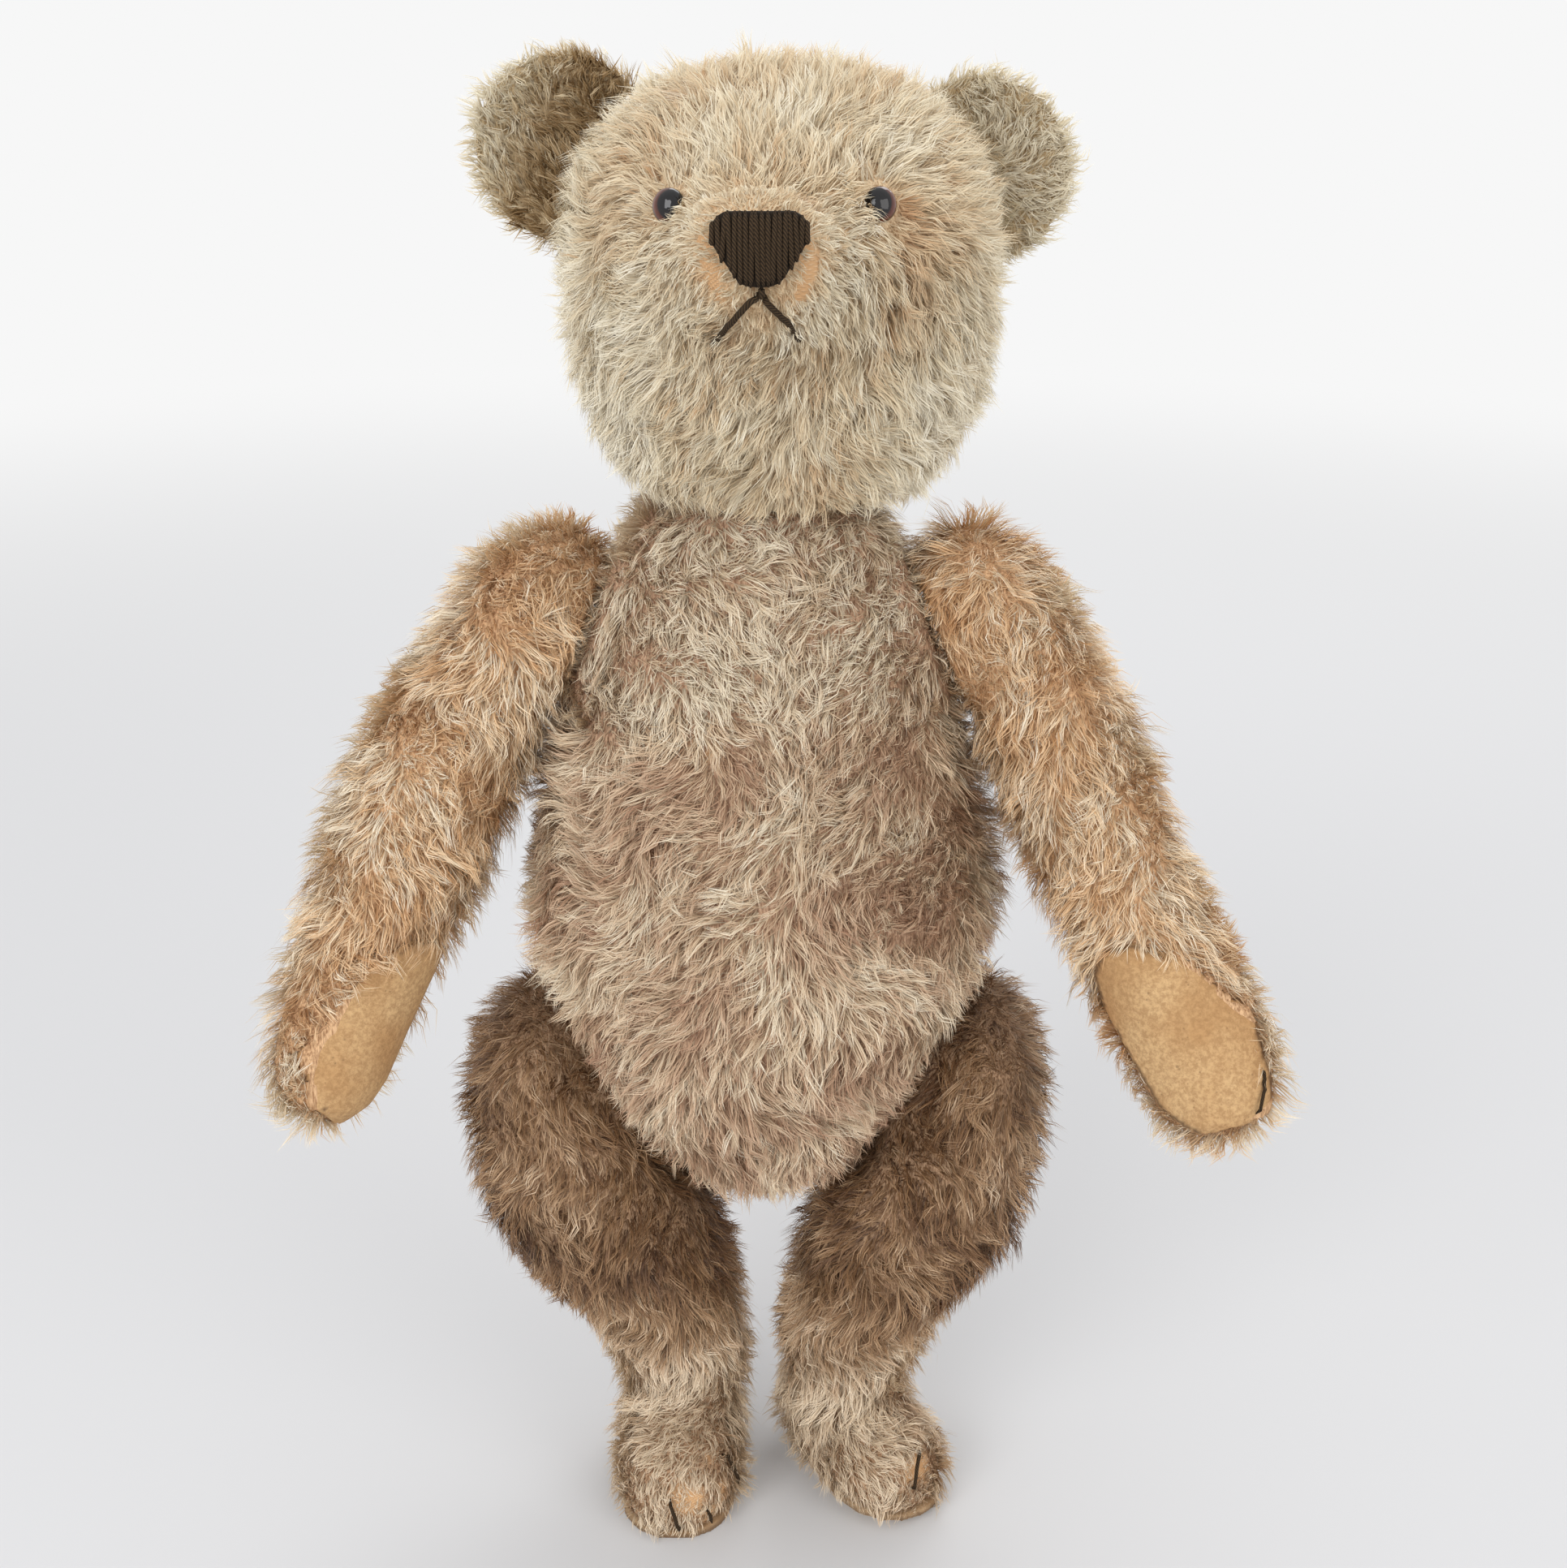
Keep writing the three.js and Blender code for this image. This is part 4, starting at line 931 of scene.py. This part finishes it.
def head_keep(points, up):
    """Worn off beside the nose, and parted by the mouth, the eyes and the ears' seams."""
    kept = 1 - 0.93 * patches(points, head_worn)
    kept *= np.where(under(points, up, "nose"), 0.0, 1 - near_node(points, "nose", 0.0008))
    kept *= 1 - 0.85 * patches(points, mouth_line)
    for eye in EYES_AT.values():
        kept *= step(0.0063, 0.0073, np.linalg.norm(points - eye, axis=1))
    for ear in ("ear_left", "ear_right"):
        kept *= 1 - 0.6 * near_node(points, ear, 0.004)
    return kept


# the pile of the torso, whose whorls are (x, height, radius, turn)
WHORLS = ((MID_X - 0.035, 0.36, 0.05, 0.8), (MID_X + 0.03, 0.30, 0.045, -0.8),
          (MID_X + 0.045, 0.41, 0.035, 0.6), (MID_X - 0.03, 0.24, 0.04, -0.7))


def torso_flow(points, up):
    """Combed to the seam over the chest, across it over the belly and away from it below, with whorls."""
    heading = np.tile([0.0, 0.0, -1.0], (len(points), 1))
    side = np.clip((points[:, 0] - SEAM_X) / 0.02, -1, 1)
    chest = step(0.35, 0.40, points[:, 2])
    low = 1 - step(0.22, 0.27, points[:, 2])
    belly = 1 - chest - low
    heading[:, 0] += -0.75 * side * chest - 0.55 * belly + 0.55 * side * low
    for x, z, radius, turn in WHORLS:
        dx, dz = points[:, 0] - x, points[:, 2] - z
        near = np.exp(-(dx * dx + dz * dz) / (radius * radius))
        heading[:, 0] += turn * near * dz / radius * 3
        heading[:, 2] -= turn * near * dx / radius * 3
    return heading


def torso_tone(points, up):
    """Paler over the chest and where the pile meets along the seam, darker below."""
    tone = 0.62 + 0.2 * drift(points, 0.045, 21)
    aside = np.abs(points[:, 0] - SEAM_X)
    ridge = 0.26 * np.exp(-(aside / 0.008) ** 2) * step(-0.6, 0.4, drift(points, 0.06, 22))
    tone += ridge * (up[:, 1] < 0)
    tone += 0.34 * step(0.34, 0.42, points[:, 2]) - 0.12 * (1 - step(0.17, 0.27, points[:, 2]))
    return tone


def torso_keep(points, up):
    """Thin along the belly's seam and at the worn spots beside it."""
    aside = np.abs(points[:, 0] - SEAM_X + 0.002 * drift(points, 0.03, 24))
    belly = step(0.19, 0.23, points[:, 2]) * (1 - step(0.33, 0.37, points[:, 2])) * (up[:, 1] < 0)
    parted = np.exp(-(aside / 0.0022) ** 2) * belly * step(-0.4, 0.3, drift(points, 0.05, 25))
    return (1 - 0.85 * parted) * (1 - 0.9 * patches(points, torso_worn))


# the pile of the ears, arms and legs
def even_length(mean, scale, seed):
    """A mean length in mm that drifts by a fifth."""
    def length(points):
        return mean * MM * np.clip(1 + 0.22 * drift(points, scale, seed), 0.75, 1.3)
    return length


def keep_all(points, up):
    """No wear at all."""
    return np.ones(len(points))


def pad_keep(pad, spots=()):
    """Nothing under a felt pad, and little on worn spots."""
    def keep(points, up):
        kept = np.where(under(points, up, pad), 0.0, 1 - near_node(points, pad, 0.0008))
        if spots:
            kept *= 1 - 0.9 * patches(points, spots)
        return kept
    return keep


def ear_tone(hand):
    """Darker inside the cup, partly its own tan and partly painted shade, and pale at the rim; the right ear
    is the darker one.
    """
    middle = centre_of("ear_" + hand)
    outwards = unit(np.array([SIDES[hand] * 0.9, 0.0, 0.45]))
    base, dark = (1.1, 0.10) if hand == "left" else (0.76, 0.42)

    def tone(points, up):
        out = (points - middle) @ outwards
        front = step(0.2, -0.5, up[:, 1])
        # inside the front of the cup the tone is darkened: partly its own tan, partly painted shade
        inside = front * (1 - step(0.000, 0.024, out))
        return base + 0.34 * step(-0.004, 0.028, out) - dark * inside + 0.08 * drift(points, 0.03, 31)
    return tone


def ear_flow(hand):
    """Combed from the ear's seam outwards."""
    base = centre_of("ear_" + hand) - np.array([SIDES[hand] * 0.03, 0, 0.022])

    def flow(points, up):
        return points - base
    return flow


def arm_flow(hand):
    """Down the arm, and over the rim of the felt pad rather than away from it."""
    pad = "paw_pad_" + hand
    middle = centre_of(pad)

    def flow(points, up):
        heading = np.tile([-0.25 * SIDES[hand], -0.7, -1.0], (len(points), 1))
        rim = near_node(points, pad, 0.016)[:, None]
        return heading * (1 - 0.65 * rim) + unit(middle - points) * rim * 0.8
    return flow


def arm_tone(hand):
    """Paler on the outside and the paw, darker on the inner side towards the torso, partly tint and partly
    painted shade; the right arm, on the key lamp's side, is paler by painted light.
    """
    # painted light: the right arm, towards the key lamp, is painted paler
    base = 0.63 + (0.06 if hand == "right" else 0.0)

    def tone(points, up):
        # paler facing out, darker facing the torso: partly a peach tint, partly painted shade
        outer = np.clip(up[:, 0] * SIDES[hand], 0, 1)
        paw = 1 - step(0.22, 0.27, points[:, 2])
        return base + 0.17 * drift(points, 0.05, 71) + 0.18 * outer + 0.16 * paw
    return tone


def leg_flow(hand):
    """Down the leg, and forwards over the toes."""
    def flow(points, up):
        heading = np.tile([0.15 * SIDES[hand], -0.5, -1.0], (len(points), 1))
        heading[:, 1] -= 1.4 * (1 - step(0.05, 0.09, points[:, 2]))
        return heading
    return flow


def leg_length(points):
    """Worn short over the toes, and shortest round their bare spots."""
    toes = (1 - step(0.03, 0.06, points[:, 2])) * step(0.0, 0.03, MID_Y - 0.02 - points[:, 1])
    worn = patches(points, [(place, radius * 1.9) for place, radius in toe_worn["right"] + toe_worn["left"]])
    return even_length(12.5, 0.05, 63)(points) * (1 - 0.35 * toes) * (1 - 0.6 * worn)


def leg_tone(points, up):
    """Brown legs on pale feet, darkest above the ankle; the legs' darkness is partly their own brown and
    partly painted shade from the belly above.
    """
    feet = 1 - step(0.055, 0.125, points[:, 2])
    shin = np.exp(-((points[:, 2] - 0.135) / 0.03) ** 2)
    # the low tone of the legs is partly painted shade from the belly above
    return 0.42 + 0.17 * drift(points, 0.05, 73) + 0.58 * feet - 0.14 * shin * (1 - feet)


def leg_keep(hand):
    """Thicker pile on the foot than on the worn leg."""
    beside = pad_keep("foot_pad_" + hand, toe_worn[hand])

    def keep(points, up):
        return beside(points, up) * (1 - 0.34 * step(0.09, 0.13, points[:, 2]))
    return keep


head_fur = fur_look("head_mohair_pile", 0.70, (196, 150, 108), (216, 178, 136), (230, 208, 172),
                    (242, 231, 204), (252, 246, 228))
torso_fur = fur_look("torso_mohair_pile", 0.48, (150, 110, 84), (188, 150, 122), (214, 184, 154),
                     (236, 216, 186), (250, 240, 218))
arm_fur = fur_look("arm_mohair_pile", 0.52, (172, 122, 78), (216, 170, 122), (240, 204, 160),
                   (250, 228, 194), (255, 246, 226))
# the leg pile's darker tones also carry the legs' painted shade
leg_fur = fur_look("leg_mohair_pile", 0.46, (94, 64, 42), (144, 108, 74), (184, 150, 114),
                   (222, 194, 162), (248, 232, 206))
ear_fur = fur_look("ear_mohair_pile", 0.62, (118, 92, 58), (168, 138, 96), (214, 188, 148),
                   (242, 226, 192), (254, 248, 228))

mark_bare(head, head_worn)
mark_bare(torso, torso_worn)
for hand in SIDES:
    mark_bare(legs[hand], toe_worn[hand])
Coat(head, "head", 0.92, head_length, head_flow, head_tone, head_keep, 101,
     width=0.36, gathered=0.6, lock_mm2=8.0, patchy=0.65).grow("head_pile", head_fur)
Coat(torso, "torso", 0.52, even_length(13.0, 0.05, 41), torso_flow, torso_tone, torso_keep, 102,
     patchy=0.85).grow("torso_pile", torso_fur)
for number, hand in enumerate(SIDES):
    ear_coat = Coat(ears[hand], "head", 0.80, even_length(9.0, 0.03, 51), ear_flow(hand), ear_tone(hand),
                    keep_all, 110 + number, lean=0.8, width=0.42, lock_mm2=7.0)
    ear_coat.grow("ear_pile_" + hand, ear_fur)
    arm_coat = Coat(arms[hand], "arm_" + hand, 0.50, even_length(12.5, 0.05, 61), arm_flow(hand),
                    arm_tone(hand), pad_keep("paw_pad_" + hand), 120 + number, lean=0.78)
    arm_coat.grow("arm_pile_" + hand, arm_fur)
    leg_coat = Coat(legs[hand], "leg_" + hand, 0.61, leg_length, leg_flow(hand), leg_tone,
                    leg_keep(hand), 130 + number, lean=0.8, patchy=0.85)
    leg_coat.grow("leg_pile_" + hand, leg_fur)


# felt, glass and yarn
def dressed_copy(node, name, material, body, levels=0, voxel=None):
    """A finer, smooth copy of a CAD node that takes its place."""
    piece = piece_from(merged_copy(node), name)
    if voxel:
        even_out(piece, voxel, 3)
    if levels:
        finer = piece.modifiers.new("finer", "SUBSURF")
        finer.levels = finer.render_levels = levels
    apply_modifiers(piece)
    smooth_faces(piece)
    dress(piece, body, material)
    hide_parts(node)
    return piece


def mark_rim(piece, limb):
    """Tell the felt's material where its stitched edge runs, by how far its face turns from the limb's."""
    surface = tree_of(limb)
    points, normals = read_surface(piece.data)
    facing = np.array([abs(surface.find_nearest(Vector(p))[1].dot(Vector(n)))
                       for p, n in zip(points, normals)])
    rim = points[facing < 0.55]
    edge = KDTree(len(rim))
    for i, p in enumerate(rim):
        edge.insert(p, i)
    edge.balance()
    away = np.array([edge.find(p)[2] for p in points])
    mark(piece, "rim", 1 - step(0.0002, 0.0016, away))


def nose_stitch_lines():
    """Upright stitches side by side over the nose, each a little askew."""
    surface = tree_of("nose")
    low, high = corners_of("nose")
    random = np.random.default_rng(77)
    lines = []
    for k in range(NOSE_STITCHES):
        x = low[0] + (high[0] - low[0]) * (k + 0.5) / NOSE_STITCHES
        seen = []
        for z in np.linspace(low[2], high[2], 60):
            hit, normal, _, _ = surface.ray_cast(Vector((x, low[1] - 0.02, z)), Vector((0, 1, 0)))
            if hit is not None and normal.y < -0.15:
                seen.append((hit, normal))
        if len(seen) > 8:
            pick = [seen[round(t)] for t in np.linspace(0, len(seen) - 1, 9)]
            askew = random.normal() * 0.25 * MM
            lines.append([hit + normal * 0.25 * MM + Vector((askew * (i / 4 - 1), 0, 0))
                          for i, (hit, normal) in enumerate(pick)])
    return lines


def sewn(name, strokes, radius, tree, body, lift):
    """Yarn along strokes of the photograph, clear of the cloth but for its ends."""
    lines = []
    for stroke in strokes:
        line = []
        for share in np.linspace(0, 1, 6 * (len(stroke) - 1) + 1):
            at_end = min(share, 1 - share) * 5 <= 0.4
            line.append(along_stroke(stroke, share, tree, (0.2 if at_end else lift) * MM))
        line = [place for place in line if place is not None]
        if len(line) > 3:
            lines.append(line)
    thread(name, lines, radius * MM, nose_yarn, body)


paw_felt = felt_look("paw_felt", (214, 178, 130), (190, 148, 100), (156, 116, 74), (78, 54, 36))
sole_felt = felt_look("sole_felt", (220, 192, 154), (186, 150, 110), (158, 124, 86), (92, 68, 48))
for hand, side in SIDES.items():
    for pad, name, felt, limb in (("paw_pad_", "paw_felt_", paw_felt, "arm_"),
                                  ("foot_pad_", "sole_felt_", sole_felt, "leg_")):
        piece = dressed_copy(pad + hand, name + hand, felt, limb + hand, voxel=0.0012)
        mark_rim(piece, limb + hand)
    facing = unit(np.array([-0.10 * side, -1.0, 0.10]))
    glass = glass_eye_look("eye_glass_" + hand, EYES_AT[hand], facing)
    dressed_copy("eye_" + hand, "glass_eye_" + hand, glass, "head", levels=2)

# pale is the yarn's painted highlight, deep its own dark brown
nose_yarn = yarn_look("nose_yarn", (84, 66, 46), (14, 10, 7), 3.0)
dressed_copy("nose", "nose_pad", nose_yarn, "head", voxel=0.0011)
thread("nose_stitches", nose_stitch_lines(), 0.95 * MM, nose_yarn, "head")
sewn("mouth_stitches", MOUTH, 1.0, skin_tree(head), "head", 2.8)
sewn("paw_claw_left", PAW_CLAW, 0.7, skin_tree(arms["left"]), "arm_left", 3.6)
for hand in SIDES:
    sewn("claws_" + hand, CLAWS[hand], 0.85, skin_tree(legs[hand]), "leg_" + hand, 3.6)

# the hidden joint parts
card, steel = card_look(), steel_look()
for name, node in nodes.items():
    kind = name.rsplit("_", 1)[-1]
    if kind in ("disc", "washer", "pin"):
        node.data.materials.clear()
        node.data.materials.append(card if kind == "disc" else steel)
